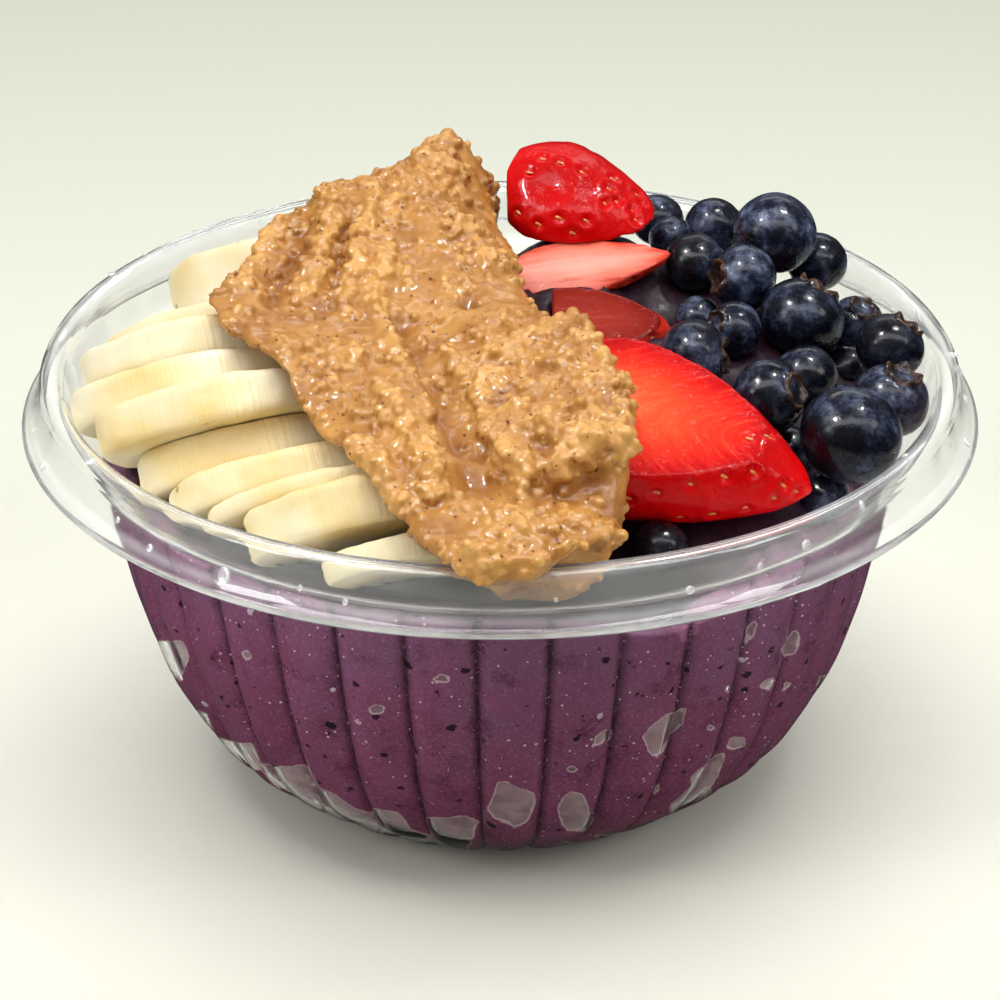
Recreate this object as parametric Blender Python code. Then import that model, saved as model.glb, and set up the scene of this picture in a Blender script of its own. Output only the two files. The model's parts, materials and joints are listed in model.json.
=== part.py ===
"""Acai bowl: a fluted clear takeaway bowl filled with acai puree, fanned banana slices, a chunky
heap of nut butter, four cut strawberries and loose blueberries. Metres, +Z up. The bowl stands
on z = 0 with its axis on the world's Z axis, and the banana side is at -X."""

import math

import bmesh
import bpy
import numpy as np
from mathutils import Matrix, Vector, geometry, noise
from mathutils.bvhtree import BVHTree

# Clearance kept between two pieces that touch.
GAP = 0.0003

# A soft piece is fitted to its neighbours by looking at them on rings around each of its points.
STENCIL_RINGS = 3
STENCIL_SIDES = 12
ABOVE_ALL = 0.120

# The bowl is one thin formed sheet. Its middle line runs from the axis, over the flat base,
# up the fluted wall, out over a seat and up to the bead, then down the skirt to its lip.
SHEET = 0.0008
FLUTES = 36
FLUTE_START = math.radians(-93.2)
FLUTE_SHOULDER = 0.29
FLUTED_LINE = (  # radius at the crests, height, depth of the grooves
    (0.0336, 0.0004, 0.0003),
    (0.0369, 0.0012, 0.0010),
    (0.0427, 0.0051, 0.0014),
    (0.0517, 0.0128, 0.0016),
    (0.0583, 0.0252, 0.0017),
    (0.0626, 0.0401, 0.0016),
    (0.0650, 0.0560, 0.0008),
)
AXIS_POINT = (0.0, FLUTED_LINE[0][1], 0.0)
RIM_LINE = (  # radius, height
    (0.0656, 0.0626),
    (0.0702, 0.0646),
    (0.0720, 0.0729),
    (0.0736, 0.0742),
    (0.0752, 0.0737),
    (0.0757, 0.0697),
    (0.0768, 0.0668),
    (0.0788, 0.0650),
)

# The puree fills the bowl to this height at the wall and mounds up under the toppings.
ACAI_LEVEL = 0.0600
ACAI_DIP = 0.0045
ACAI_DIP_TURN = math.radians(-66.0)
ACAI_DIP_SPREAD = math.radians(12.0)
ACAI_MOUNDS = (  # x, y, height, spread
    (0.043, 0.010, 0.0135, 0.021),
    (0.014, 0.034, 0.0150, 0.014),
    (-0.004, 0.004, 0.0100, 0.026),
    (0.033, -0.036, 0.0060, 0.012),
    (0.0268, 0.0178, -0.0080, 0.0065),
)
ACAI_STEP = 0.0058

# Banana slices: cut a little on the slant, leaning on one another towards -Y.
SLICE_TURN = math.radians(21.8)
SLICE_LEAN = math.radians(49.3)
SLICE_SIDES = 14
SLICE_EDGE = 0.0009
SLICES = (  # centre x, y, z, half length, half width, thickness
    (-0.0440, 0.0300, 0.0730, 0.0125, 0.0120, 0.0100),
    (-0.0485, 0.0133, 0.0715, 0.0180, 0.0135, 0.0049),
    (-0.0503, -0.0005, 0.0740, 0.0190, 0.0135, 0.0065),
    (-0.0498, -0.0113, 0.0726, 0.0200, 0.0135, 0.0062),
    (-0.0446, -0.0207, 0.0728, 0.0205, 0.0140, 0.0071),
    (-0.0393, -0.0205, 0.0649, 0.0200, 0.0135, 0.0069),
    (-0.0328, -0.0299, 0.0657, 0.0200, 0.0135, 0.0058),
    (-0.0268, -0.0373, 0.0672, 0.0190, 0.0135, 0.0033),
    (-0.0213, -0.0453, 0.0679, 0.0180, 0.0130, 0.0077),
    (-0.0160, -0.0565, 0.0665, 0.0110, 0.0080, 0.0040),
)

# Strawberries: a tapering body cut by flat planes. Each has the place of its widest point, the
# way to its tip, its upright way, the length from there to the tip, half its width, half its
# depth, the cuts (way, distance from the widest point), and where its blunt end is cut off.
TAPER = (  # share of the length to the tip, share of the width
    (-0.40, 0.50),
    (-0.22, 0.85),
    (0.00, 1.00),
    (0.28, 0.91),
    (0.55, 0.70),
    (0.78, 0.45),
    (0.93, 0.22),
)
STRAWBERRY_SIDES = 16
STRAWBERRIES = (
    (
        (0.0100, 0.0400, 0.0857),
        (0.90, -0.25, -0.32),
        (0.05, 0.30, -1.0),
        (0.0238, 0.0118, 0.0079),
        (((0.05, 0.30, -1.0), 0.0010),),
        0.0024,
    ),
    (
        (0.0100, 0.0232, 0.0797),
        (1.0, 0.15, 0.06),
        (-0.05, -0.75, 0.66),
        (0.0196, 0.0065, 0.0085),
        (
            ((-0.05, -0.75, 0.66), 0.0008),
            ((0.05, 0.75, -0.66), 0.0066),
            ((-0.05, -0.30, 1.0), -0.0003),
        ),
        0.0028,
    ),
    (
        (0.0110, 0.0085, 0.0755),
        (1.0, 0.05, -0.08),
        (0.0, -0.35, 0.95),
        (0.0180, 0.0085, 0.0070),
        (((0.0, -0.35, 0.95), 0.0010), ((0.0, 0.35, -0.95), 0.0042)),
        0.0088,
    ),
    (
        (0.0170, -0.0335, 0.0785),
        (0.90, -0.27, -0.22),
        (0.05, -0.30, 1.0),
        (0.0335, 0.0168, 0.0130),
        (((0.05, -0.30, 1.0), 0.0040), ((-0.05, 0.30, -1.0), 0.0120)),
        0.0140,
    ),
)

# The nut butter heap: rows across it, from the back to the tip over the front of the rim, then
# its folds, each a ridge or a channel between two places.
HEAP_SHARES = (0.0, 0.30, 0.70, 1.0)
HEAP_ROWS = (  # y, left x, right x, then the heights at the shares of the way across
    (0.0560, -0.0150, -0.0030, 0.0690, 0.0710, 0.0710, 0.0690),
    (0.0510, -0.0210, -0.0010, 0.0770, 0.0820, 0.0900, 0.0810),
    (0.0445, -0.0270, -0.0006, 0.0815, 0.0860, 0.0980, 0.0910),
    (0.0360, -0.0335, -0.0006, 0.0850, 0.0910, 0.0955, 0.0900),
    (0.0280, -0.0375, -0.0004, 0.0860, 0.0940, 0.0930, 0.0880),
    (0.0200, -0.0410, 0.0026, 0.0845, 0.0925, 0.0930, 0.0860),
    (0.0100, -0.0442, 0.0040, 0.0830, 0.0890, 0.0905, 0.0850),
    (0.0000, -0.0465, 0.0056, 0.0820, 0.0870, 0.0885, 0.0870),
    (-0.0070, -0.0475, 0.0090, 0.0810, 0.0855, 0.0875, 0.0890),
    (-0.0140, -0.0460, 0.0115, 0.0805, 0.0845, 0.0870, 0.0895),
    (-0.0220, -0.0400, 0.0145, 0.0805, 0.0840, 0.0875, 0.0905),
    (-0.0300, -0.0335, 0.0170, 0.0810, 0.0840, 0.0875, 0.0905),
    (-0.0400, -0.0285, 0.0205, 0.0810, 0.0830, 0.0870, 0.0890),
    (-0.0500, -0.0210, 0.0205, 0.0795, 0.0820, 0.0865, 0.0870),
    (-0.0560, -0.0185, 0.0190, 0.0785, 0.0810, 0.0845, 0.0850),
    (-0.0600, -0.0155, 0.0180, 0.0780, 0.0800, 0.0810, 0.0810),
    (-0.0645, -0.0140, 0.0175, 0.0770, 0.0790, 0.0790, 0.0765),
    (-0.0690, -0.0130, 0.0170, 0.0765, 0.0785, 0.0785, 0.0760),
    (-0.0730, -0.0110, 0.0110, 0.0765, 0.0780, 0.0780, 0.0765),
    (-0.0775, -0.0050, 0.0055, 0.0750, 0.0755, 0.0755, 0.0750),
)
HEAP_FOLDS = (  # x, y at one end, x, y at the other, height, half width
    (-0.0365, 0.0230, -0.0390, -0.0040, 0.0012, 0.0030),
    (-0.0285, 0.0280, -0.0320, -0.0060, 0.0012, 0.0030),
    (-0.0220, 0.0240, -0.0250, -0.0120, 0.0009, 0.0028),
    (-0.0183, 0.0190, -0.0041, -0.0360, -0.0018, 0.0060),
    (-0.0041, -0.0360, -0.0004, -0.0640, -0.0018, 0.0040),
    (-0.0177, -0.0340, -0.0102, -0.0550, 0.0020, 0.0034),
    (-0.0102, -0.0550, -0.0110, -0.0700, 0.0014, 0.0030),
    (0.0039, -0.0500, 0.0134, -0.0540, 0.0018, 0.0034),
    (0.0134, -0.0540, 0.0180, -0.0480, 0.0012, 0.0030),
    (0.0080, -0.0610, 0.0140, -0.0610, -0.0020, 0.0036),
)
HEAP_STEP = 0.0034
HEAP_REACH = 0.0026
HEAP_TOP_POINTS = 21
HEAP_UNDER_POINTS = 6
HEAP_ROUNDING = 0.35
HEAP_LUMP = 0.0020
HEAP_LUMP_SIZE = 0.0085
HEAP_LEAST = 0.0016
HEAP_HANG = 0.0728

# Blueberries: centre x, y, z, radius, then the way the crown points (nothing where it is hidden).
BERRY_FLATTEN = 0.93
CROWN_SIDES = 10
LOOSE_WAY = (0.2, -0.3, 1.0)
BERRIES = (
    (0.0281, 0.0537, 0.0754, 0.0048, None),
    (0.0302, 0.0448, 0.0757, 0.0040, None),
    (0.0374, 0.0402, 0.0799, 0.0052, None),
    (0.0404, 0.0469, 0.0740, 0.0038, None),
    (0.0468, 0.0257, 0.0848, 0.0072, None),
    (0.0548, 0.0318, 0.0768, 0.0053, None),
    (0.0335, 0.0277, 0.0785, 0.0053, None),
    (0.0409, 0.0143, 0.0815, 0.0058, (-0.9, -0.3, 0.2)),
    (0.0501, 0.0053, 0.0781, 0.0072, (0.5, 0.3, 0.8)),
    (0.0600, 0.0125, 0.0740, 0.0048, (0.2, -0.4, 0.9)),
    (0.0635, -0.0070, 0.0787, 0.0057, (0.6, 0.2, 0.8)),
    (0.0626, -0.0196, 0.0752, 0.0062, (0.3, -0.1, 0.95)),
    (0.0549, -0.0327, 0.0757, 0.0081, None),
    (0.0583, 0.0043, 0.0695, 0.0044, None),
    (0.0501, -0.0066, 0.0734, 0.0052, None),
    (0.0426, -0.0240, 0.0780, 0.0061, (0.8, -0.4, 0.4)),
    (0.0312, -0.0132, 0.0800, 0.0060, (0.9, -0.1, 0.1)),
    (0.0385, 0.0011, 0.0780, 0.0048, (-0.8, -0.4, 0.5)),
    (0.0333, 0.0122, 0.0751, 0.0039, None),
    (0.0464, -0.0230, 0.0680, 0.0040, None),
    (0.0512, -0.0330, 0.0648, 0.0042, None),
    (0.0246, -0.0505, 0.0652, 0.0042, None),
)


def material(name, colour, roughness, transmission=0.0):
    """A Principled material, see-through where transmission is above zero."""
    made = bpy.data.materials.new(name)
    made.use_nodes = True
    shader = made.node_tree.nodes["Principled BSDF"]
    shader.inputs["Base Color"].default_value = (*colour, 1.0)
    shader.inputs["Roughness"].default_value = roughness
    shader.inputs["Metallic"].default_value = 0.0
    shader.inputs["Transmission Weight"].default_value = transmission
    made.diffuse_color = (*colour, 1.0)
    return made


def object_from(bm, name, finish, sharp=math.radians(40.0)):
    """Closes the bmesh into a named object with outward faces and smooth shading."""
    bmesh.ops.recalc_face_normals(bm, faces=bm.faces)
    mesh = bpy.data.meshes.new(name)
    bm.to_mesh(mesh)
    bm.free()
    mesh.shade_smooth()
    mesh.set_sharp_from_angle(angle=sharp)
    mesh.materials.append(finish)
    made = bpy.data.objects.new(name, mesh)
    bpy.context.scene.collection.objects.link(made)
    return made


def ring(bm, points):
    """Adds one closed row of vertices."""
    return [bm.verts.new(point) for point in points]


def bridge(bm, first, second):
    """Joins two rings with the same number of vertices by quads."""
    count = len(first)
    for i in range(count):
        j = (i + 1) % count
        bm.faces.new((first[i], first[j], second[j], second[i]))


def offset_line(line, distance):
    """Moves a line of (radius, height) points sideways, to its left where distance is positive."""
    moved = []
    for i, point in enumerate(line):
        before = Vector(line[max(i - 1, 0)][:2])
        here = Vector(point[:2])
        after = Vector(line[min(i + 1, len(line) - 1)][:2])
        ways = [way.normalized() for way in (here - before, after - here) if way.length > 0.0]
        sides = [Vector((-way.y, way.x)) for way in ways]
        middle = sum(sides, Vector((0.0, 0.0))).normalized()
        reach = distance / max(middle.dot(sides[0]), 0.5)
        moved.append((*(here + middle * reach), *point[2:]))
    return moved


def fluted_ring(radius, height, depth):
    """Points of one level of the fluted wall: a narrow groove, then two shoulders, per flute."""
    points = []
    for flute in range(FLUTES):
        for step, inset in ((0.0, depth), (FLUTE_SHOULDER, 0.0), (1.0 - FLUTE_SHOULDER, 0.0)):
            turn = FLUTE_START + (flute + step) * math.tau / FLUTES
            reach = radius - inset
            points.append(Vector((reach * math.cos(turn), reach * math.sin(turn), height)))
    return points


def plain_ring(radius, height):
    """Points of one level of the rim, two for each flute."""
    turns = [FLUTE_START + k * math.pi / FLUTES for k in range(2 * FLUTES)]
    return [Vector((radius * math.cos(turn), radius * math.sin(turn), height)) for turn in turns]


def zip_rings(bm, fluted, plain):
    """Joins a ring of three vertices a flute to a ring of two."""
    for flute in range(FLUTES):
        a = [fluted[(3 * flute + k) % len(fluted)] for k in range(4)]
        b = [plain[(2 * flute + k) % len(plain)] for k in range(3)]
        corners = (
            (a[0], a[1], b[0]),
            (a[1], b[1], b[0]),
            (a[1], a[2], b[1]),
            (a[2], b[2], b[1]),
            (a[2], a[3], b[2]),
        )
        for corner in corners:
            bm.faces.new(corner)


def sheet_side(bm, distance):
    """One side of the bowl's sheet, from its middle to the lip, as vertex rings."""
    line = [AXIS_POINT] + [(*point, 0.0)[:3] for point in FLUTED_LINE + RIM_LINE]
    moved = offset_line(line, distance)[1:]
    fluted = [ring(bm, fluted_ring(*point)) for point in moved[: len(FLUTED_LINE)]]
    plain = [ring(bm, plain_ring(*point[:2])) for point in moved[len(FLUTED_LINE):]]
    for lower, upper in zip(fluted, fluted[1:]):
        bridge(bm, lower, upper)
    zip_rings(bm, fluted[-1], plain[0])
    for lower, upper in zip(plain, plain[1:]):
        bridge(bm, lower, upper)
    bm.faces.new(fluted[0])
    return plain[-1]


def build_bowl():
    """The clear bowl: flat base, fluted wall, seat, bead and flared skirt."""
    bm = bmesh.new()
    inside = sheet_side(bm, SHEET / 2)
    outside = sheet_side(bm, -SHEET / 2)
    bridge(bm, inside, outside)
    finish = material("clear plastic", (0.92, 0.94, 0.93), 0.06, transmission=1.0)
    return object_from(bm, "bowl", finish, sharp=math.radians(30.0))


def wall_radius(height):
    """Radius of the wall's inner side in the bottom of its grooves, less the clearance."""
    line = [(*point, 0.0)[:3] for point in FLUTED_LINE + RIM_LINE[:2]]
    inside = offset_line(line, SHEET / 2 + GAP)
    heights = [point[1] for point in inside]
    radii = [point[0] - point[2] for point in inside]
    return float(np.interp(height, heights, radii))


def acai_level(turn):
    """Height of the puree at the wall, lower where it has drawn away at the front."""
    away = math.remainder(turn - ACAI_DIP_TURN, math.tau)
    return ACAI_LEVEL - ACAI_DIP * math.exp(-((away / ACAI_DIP_SPREAD) ** 2))


def acai_height(x, y):
    """Height of the puree's free surface before the toppings press into it."""
    height = acai_level(math.atan2(y, x))
    for centre_x, centre_y, rise, spread in ACAI_MOUNDS:
        away = math.hypot(x - centre_x, y - centre_y) / spread
        height += rise * math.exp(-0.5 * away * away)
    return height


def tree_of(objects):
    """Search tree of the objects' faces, in world space."""
    verts, faces = [], []
    for each in objects:
        start = len(verts)
        verts.extend(each.matrix_world @ vert.co for vert in each.data.vertices)
        faces.extend([start + k for k in face.vertices] for face in each.data.polygons)
    return BVHTree.FromPolygons(verts, faces)


def heights_near(tree, x, y, reach, start, way):
    """Heights of the first faces met from start, up or down, at a point and on rings around it."""
    places = [(x, y)]
    for ring_number in range(1, STENCIL_RINGS + 1):
        away = reach * ring_number / STENCIL_RINGS
        for k in range(STENCIL_SIDES):
            turn = k * math.tau / STENCIL_SIDES
            places.append((x + away * math.cos(turn), y + away * math.sin(turn)))
    hits = [tree.ray_cast(Vector((*place, start)), Vector((0.0, 0.0, way)))[0] for place in places]
    return [hit.z for hit in hits if hit]


def lowest_above(tree, x, y, reach, start):
    """Height of the lowest face over start near a point, or infinity."""
    return min(heights_near(tree, x, y, reach, start, 1.0), default=math.inf)


def highest_below(tree, x, y, reach, start):
    """Height of the highest face under start near a point."""
    return max(heights_near(tree, x, y, reach, start, -1.0), default=0.0)


def build_acai(toppings):
    """The puree: a fluted body that follows the wall, with a mounded top under the toppings."""
    bm = bmesh.new()
    line = offset_line((AXIS_POINT, *FLUTED_LINE), SHEET / 2 + GAP)[1:]
    rings = [ring(bm, fluted_ring(*point)) for point in line]
    top = []
    for point in fluted_ring(1.0, 0.0, 0.0):
        level = acai_level(math.atan2(point.y, point.x))
        radius = wall_radius(level)
        top.append(bm.verts.new((radius * point.x, radius * point.y, level)))
    rings.append(top)
    for lower, upper in zip(rings, rings[1:]):
        bridge(bm, lower, upper)
    bm.faces.new(rings[0])
    tree = tree_of(toppings)
    reach = wall_radius(ACAI_LEVEL) - 0.75 * ACAI_STEP
    rows = int(reach / ACAI_STEP) + 2
    inner = []
    for row in range(-rows, rows + 1):
        for column in range(-rows, rows + 1):
            x = (column + 0.5 * (row % 2)) * ACAI_STEP
            y = row * ACAI_STEP * math.sqrt(0.75)
            if math.hypot(x, y) < reach:
                inner.append((x, y))
    count = len(top)
    flat = [Vector((vert.co.x, vert.co.y)) for vert in top] + [Vector(point) for point in inner]
    edges = [(k, (k + 1) % count) for k in range(count)]
    faces = geometry.delaunay_2d_cdt(flat, edges, [], 1, 1e-7)[2]
    verts = list(top)
    for x, y in inner:
        under = lowest_above(tree, x, y, 0.62 * ACAI_STEP, ACAI_LEVEL / 2)
        verts.append(bm.verts.new((x, y, min(acai_height(x, y), under - 2 * GAP))))
    for face in faces:
        bm.faces.new([verts[k] for k in face])
    return object_from(bm, "acai", material("acai puree", (0.16, 0.055, 0.125), 0.45))


def build_slice(number, centre, half_length, half_width, thickness, finish):
    """One banana slice: an oval disc with a faintly five-sided outline and softened edges."""
    bm = bmesh.new()
    levels = ((0.94, 0.5), (1.0, 0.5), (1.0, -0.5), (0.94, -0.5))
    rings = []
    for size, side in levels:
        height = side * (thickness if size < 1.0 else thickness - 2 * SLICE_EDGE)
        row = []
        for k in range(SLICE_SIDES):
            turn = k * math.tau / SLICE_SIDES
            reach = size * (1.0 + 0.025 * math.cos(5.0 * turn + number))
            x = half_length * reach * math.cos(turn)
            y = half_width * reach * math.sin(turn)
            row.append(Vector((x, y, height)))
        rings.append(ring(bm, row))
    for upper, lower in zip(rings, rings[1:]):
        bridge(bm, upper, lower)
    bm.faces.new(rings[0])
    bm.faces.new(rings[-1])
    made = object_from(bm, f"banana_slice_{number}", finish)
    upright = Matrix.Rotation(math.radians(90.0), 4, "X")
    lean = Matrix.Rotation(SLICE_LEAN, 4, "X")
    turn = Matrix.Rotation(SLICE_TURN, 4, "Z")
    made.matrix_world = Matrix.Translation(centre) @ turn @ lean @ upright
    return made


def build_slices():
    """The fan of banana slices along the -X side, from the back to the front."""
    finish = material("banana", (0.83, 0.73, 0.50), 0.5)
    made = []
    for number, (x, y, z, half_length, half_width, thickness) in enumerate(SLICES, start=1):
        made.append(build_slice(number, (x, y, z), half_length, half_width, thickness, finish))
    return made


def berry_with_crown(bm, radius):
    """A berry turned about Z, with the ragged crown and its hollow at the top."""
    levels = ((-0.93, 0.40), (-0.60, 0.80), (-0.05, 1.0), (0.50, 0.88), (0.84, 0.52))
    rings = []
    for height, reach in levels:
        row = []
        for k in range(CROWN_SIDES):
            turn = k * math.tau / CROWN_SIDES
            row.append(Vector((math.cos(turn) * reach, math.sin(turn) * reach, height)) * radius)
        rings.append(ring(bm, row))
    crown = []
    for k in range(CROWN_SIDES):
        turn = k * math.tau / CROWN_SIDES
        height, reach = (1.06, 0.46) if k % 2 else (0.94, 0.40)
        crown.append(Vector((math.cos(turn) * reach, math.sin(turn) * reach, height)) * radius)
    rings.append(ring(bm, crown))
    for lower, upper in zip(rings, rings[1:]):
        bridge(bm, lower, upper)
    for row, height in ((rings[0], -1.0), (rings[-1], 0.80)):
        tip = bm.verts.new((0.0, 0.0, height * radius))
        for k in range(CROWN_SIDES):
            bm.faces.new((row[k], row[(k + 1) % CROWN_SIDES], tip))


def build_berries():
    """The loose blueberries heaped at the +X side."""
    finish = material("blueberry", (0.016, 0.018, 0.040), 0.3)
    made = []
    for number, (x, y, z, radius, crown) in enumerate(BERRIES, start=1):
        bm = bmesh.new()
        if crown:
            berry_with_crown(bm, radius)
        else:
            bmesh.ops.create_icosphere(bm, subdivisions=2, radius=radius)
        bmesh.ops.scale(bm, vec=(1.0, 1.0, BERRY_FLATTEN), verts=bm.verts)
        berry = object_from(bm, f"blueberry_{number}", finish, sharp=math.radians(60.0))
        turned = Vector(crown or LOOSE_WAY).to_track_quat("Z", "Y").to_matrix().to_4x4()
        berry.matrix_world = Matrix.Translation((x, y, z)) @ turned
        made.append(berry)
    return made


def strawberry_frame(centre, tip_way, upright):
    """World matrix with X to the tip, and Z as near to the upright way as X allows."""
    along = Vector(tip_way).normalized()
    across = Vector(upright).cross(along).normalized()
    turned = Matrix((along, across, along.cross(across))).transposed().to_4x4()
    return Matrix.Translation(centre) @ turned


def cut_flat(bm, point, way):
    """Takes away what lies beyond a plane, and closes the cut with one face."""
    every = bm.verts[:] + bm.edges[:] + bm.faces[:]
    cut = bmesh.ops.bisect_plane(bm, geom=every, plane_co=point, plane_no=way, clear_outer=True)
    edges = [each for each in cut["geom_cut"] if isinstance(each, bmesh.types.BMEdge)]
    if edges:
        bmesh.ops.contextual_create(bm, geom=edges)


def build_strawberry(number, centre, tip_way, upright, size, cuts, blunt_end, finish):
    """A cut strawberry, tapering from its shoulder to its tip."""
    length, half_width, half_depth = size
    bm = bmesh.new()
    rings = []
    for along, wide in TAPER:
        row = []
        for k in range(STRAWBERRY_SIDES):
            turn = (k + 0.5) * math.tau / STRAWBERRY_SIDES
            y = math.cos(turn) * wide * half_width
            z = math.sin(turn) * wide * half_depth
            row.append(Vector((along * length, y, z)))
        rings.append(ring(bm, row))
    for blunt, pointed in zip(rings, rings[1:]):
        bridge(bm, blunt, pointed)
    bm.faces.new(rings[0])
    tip = bm.verts.new((length, 0.0, 0.0))
    for k in range(STRAWBERRY_SIDES):
        bm.faces.new((rings[-1][k], rings[-1][(k + 1) % STRAWBERRY_SIDES], tip))
    bm.transform(strawberry_frame(centre, tip_way, upright))
    for way, distance in cuts:
        out = Vector(way).normalized()
        cut_flat(bm, Vector(centre) + out * distance, out)
    cut_flat(bm, Vector((blunt_end, 0.0, 0.0)), Vector((-1.0, 0.0, 0.0)))
    return object_from(bm, f"strawberry_{number}", finish)


def build_strawberries():
    """The four cut strawberries between the heap and the blueberries."""
    finish = material("strawberry", (0.62, 0.03, 0.03), 0.3)
    made = []
    for number, values in enumerate(STRAWBERRIES, start=1):
        made.append(build_strawberry(number, *values, finish))
    return made


def heap_row(y):
    """The heap's outline and heights at one place along it, read smoothly between the rows."""
    rows = np.array(HEAP_ROWS[::-1])
    at = int(np.clip(np.searchsorted(rows[:, 0], y) - 1, 0, len(rows) - 2))
    before, after = rows[at], rows[at + 1]
    share = (y - before[0]) / (after[0] - before[0])
    share = share * share * (3.0 - 2.0 * share)
    return before[1:] + (after[1:] - before[1:]) * share


def fold_height(x, y):
    """How far the folds raise or lower the heap at one place."""
    here = Vector((x, y))
    height = 0.0
    for x1, y1, x2, y2, rise, half_width in HEAP_FOLDS:
        start, end = Vector((x1, y1)), Vector((x2, y2))
        share = (here - start).dot(end - start) / (end - start).length_squared
        away = (here - start.lerp(end, min(max(share, 0.0), 1.0))).length / half_width
        height += rise * math.exp(-away * away)
    return height


def heap_top(x, y, left, right, heights):
    """Height of the heap's surface: a plain section with folds and lumps on it."""
    across = (x - left) / (right - left)
    plain = float(np.interp(across, HEAP_SHARES, heights))
    point = Vector((x, y, 0.0)) / HEAP_LUMP_SIZE
    lump = noise.noise(point) + 0.5 * noise.noise(point * 2.3 + Vector((7.0, 3.0, 1.0)))
    return plain + fold_height(x, y) + HEAP_LUMP * lump


def heap_under(tree, x, y, reach):
    """Height of the heap's underside, which rests on what it lies on but hangs free at the tip."""
    rest = highest_below(tree, x, y, reach, ABOVE_ALL) + 2 * GAP
    beyond_rim = y < -RIM_LINE[3][0]
    return max(rest, HEAP_HANG) if beyond_rim else rest


def eased(heights):
    """Heights raised where they must be to change slowly from point to point."""
    for spread in (np.max, np.mean):
        windows = np.lib.stride_tricks.sliding_window_view(np.pad(heights, 1, mode="edge"), (3, 3))
        heights = spread(windows, axis=(2, 3))
    return heights


def build_heap(supports):
    """The nut butter: closed sections along Y, laid over the slices, the puree and the rim."""
    tree = tree_of(supports)
    back, front = HEAP_ROWS[0][0], HEAP_ROWS[-1][0]
    places = np.linspace(back, front, round((back - front) / HEAP_STEP) + 1)
    turns = np.linspace(0.0, math.pi, HEAP_TOP_POINTS)
    lows = []
    for y in places:
        left, right = heap_row(y)[:2]
        across = 0.5 * (left + right) - 0.5 * (right - left) * np.cos(turns)
        lows.append([heap_under(tree, x, y, HEAP_REACH) + HEAP_LEAST for x in across])
    lows = eased(np.array(lows))
    bm = bmesh.new()
    rings = []
    for y, row_lows in zip(places, lows):
        left, right, *heights = heap_row(y)
        row = []
        for turn, low in zip(turns, row_lows):
            x = 0.5 * (left + right) - 0.5 * (right - left) * math.cos(turn)
            bulge = max(math.sin(turn), 0.0) ** HEAP_ROUNDING
            top = max(heap_top(x, y, left, right, heights), low + HEAP_LEAST)
            row.append(Vector((x, y, low + (top - low) * bulge)))
        for i in range(HEAP_UNDER_POINTS):
            share = (i + 1) / (HEAP_UNDER_POINTS + 1)
            x = right + (left - right) * share
            reach = 0.7 * (right - left) / HEAP_UNDER_POINTS
            row.append(Vector((x, y, heap_under(tree, x, y, reach))))
        rings.append(ring(bm, row))
    for behind, before in zip(rings, rings[1:]):
        bridge(bm, behind, before)
    bm.faces.new(rings[0])
    bm.faces.new(rings[-1])
    return object_from(bm, "nut_butter", material("nut butter", (0.44, 0.24, 0.10), 0.4))


def clear_scene():
    """Takes away whatever the scene starts with."""
    for each in list(bpy.data.objects):
        bpy.data.objects.remove(each, do_unlink=True)


def main():
    clear_scene()
    bowl = build_bowl()
    toppings = build_slices() + build_strawberries() + build_berries()
    bpy.context.view_layer.update()
    acai = build_acai(toppings)
    build_heap([bowl, acai, *toppings])


main()
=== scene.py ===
"""Acai bowl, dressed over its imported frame: a fluted clear bowl of puree under fanned banana
slices, a crumbly heap of nut butter, four cut strawberries and loose blueberries. Metres, +Z up."""

import json
import math
import random

import bmesh
import bpy
import numpy as np
from mathutils import Matrix, Vector, geometry, noise
from mathutils.bvhtree import BVHTree
from mathutils.kdtree import KDTree

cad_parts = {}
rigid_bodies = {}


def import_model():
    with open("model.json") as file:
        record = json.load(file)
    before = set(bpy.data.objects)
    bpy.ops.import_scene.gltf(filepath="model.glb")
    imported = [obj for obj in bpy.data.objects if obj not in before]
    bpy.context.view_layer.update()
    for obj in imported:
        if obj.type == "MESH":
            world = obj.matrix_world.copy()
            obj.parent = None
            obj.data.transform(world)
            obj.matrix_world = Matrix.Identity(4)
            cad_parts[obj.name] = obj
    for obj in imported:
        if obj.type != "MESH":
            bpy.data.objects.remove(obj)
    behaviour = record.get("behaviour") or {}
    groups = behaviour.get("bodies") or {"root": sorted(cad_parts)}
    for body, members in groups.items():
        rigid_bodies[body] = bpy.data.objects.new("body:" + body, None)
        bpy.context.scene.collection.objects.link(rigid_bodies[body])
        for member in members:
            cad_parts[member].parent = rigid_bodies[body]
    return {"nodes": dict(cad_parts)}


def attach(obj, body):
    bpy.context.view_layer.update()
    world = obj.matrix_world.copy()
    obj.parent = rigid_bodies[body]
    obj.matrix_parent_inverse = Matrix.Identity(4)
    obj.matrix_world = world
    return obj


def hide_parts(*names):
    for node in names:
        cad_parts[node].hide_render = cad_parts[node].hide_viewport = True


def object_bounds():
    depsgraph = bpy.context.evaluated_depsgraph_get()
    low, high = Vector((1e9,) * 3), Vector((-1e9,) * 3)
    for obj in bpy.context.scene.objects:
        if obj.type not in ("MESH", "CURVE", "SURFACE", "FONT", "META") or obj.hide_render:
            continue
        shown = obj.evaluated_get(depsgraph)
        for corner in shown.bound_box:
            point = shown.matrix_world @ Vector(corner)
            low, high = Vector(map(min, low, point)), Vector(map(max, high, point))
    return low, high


bl_info = {
    "name": "Acai Bowl",
    "version": (1, 0, 0),
    "blender": (4, 5, 0),
    "location": "3D View > Sidebar > Acai Bowl",
    "description": "Builds a clear takeaway bowl of acai puree with its fruit and nut butter",
    "category": "Add Mesh",
}

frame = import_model()
CAD_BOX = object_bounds()

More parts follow.
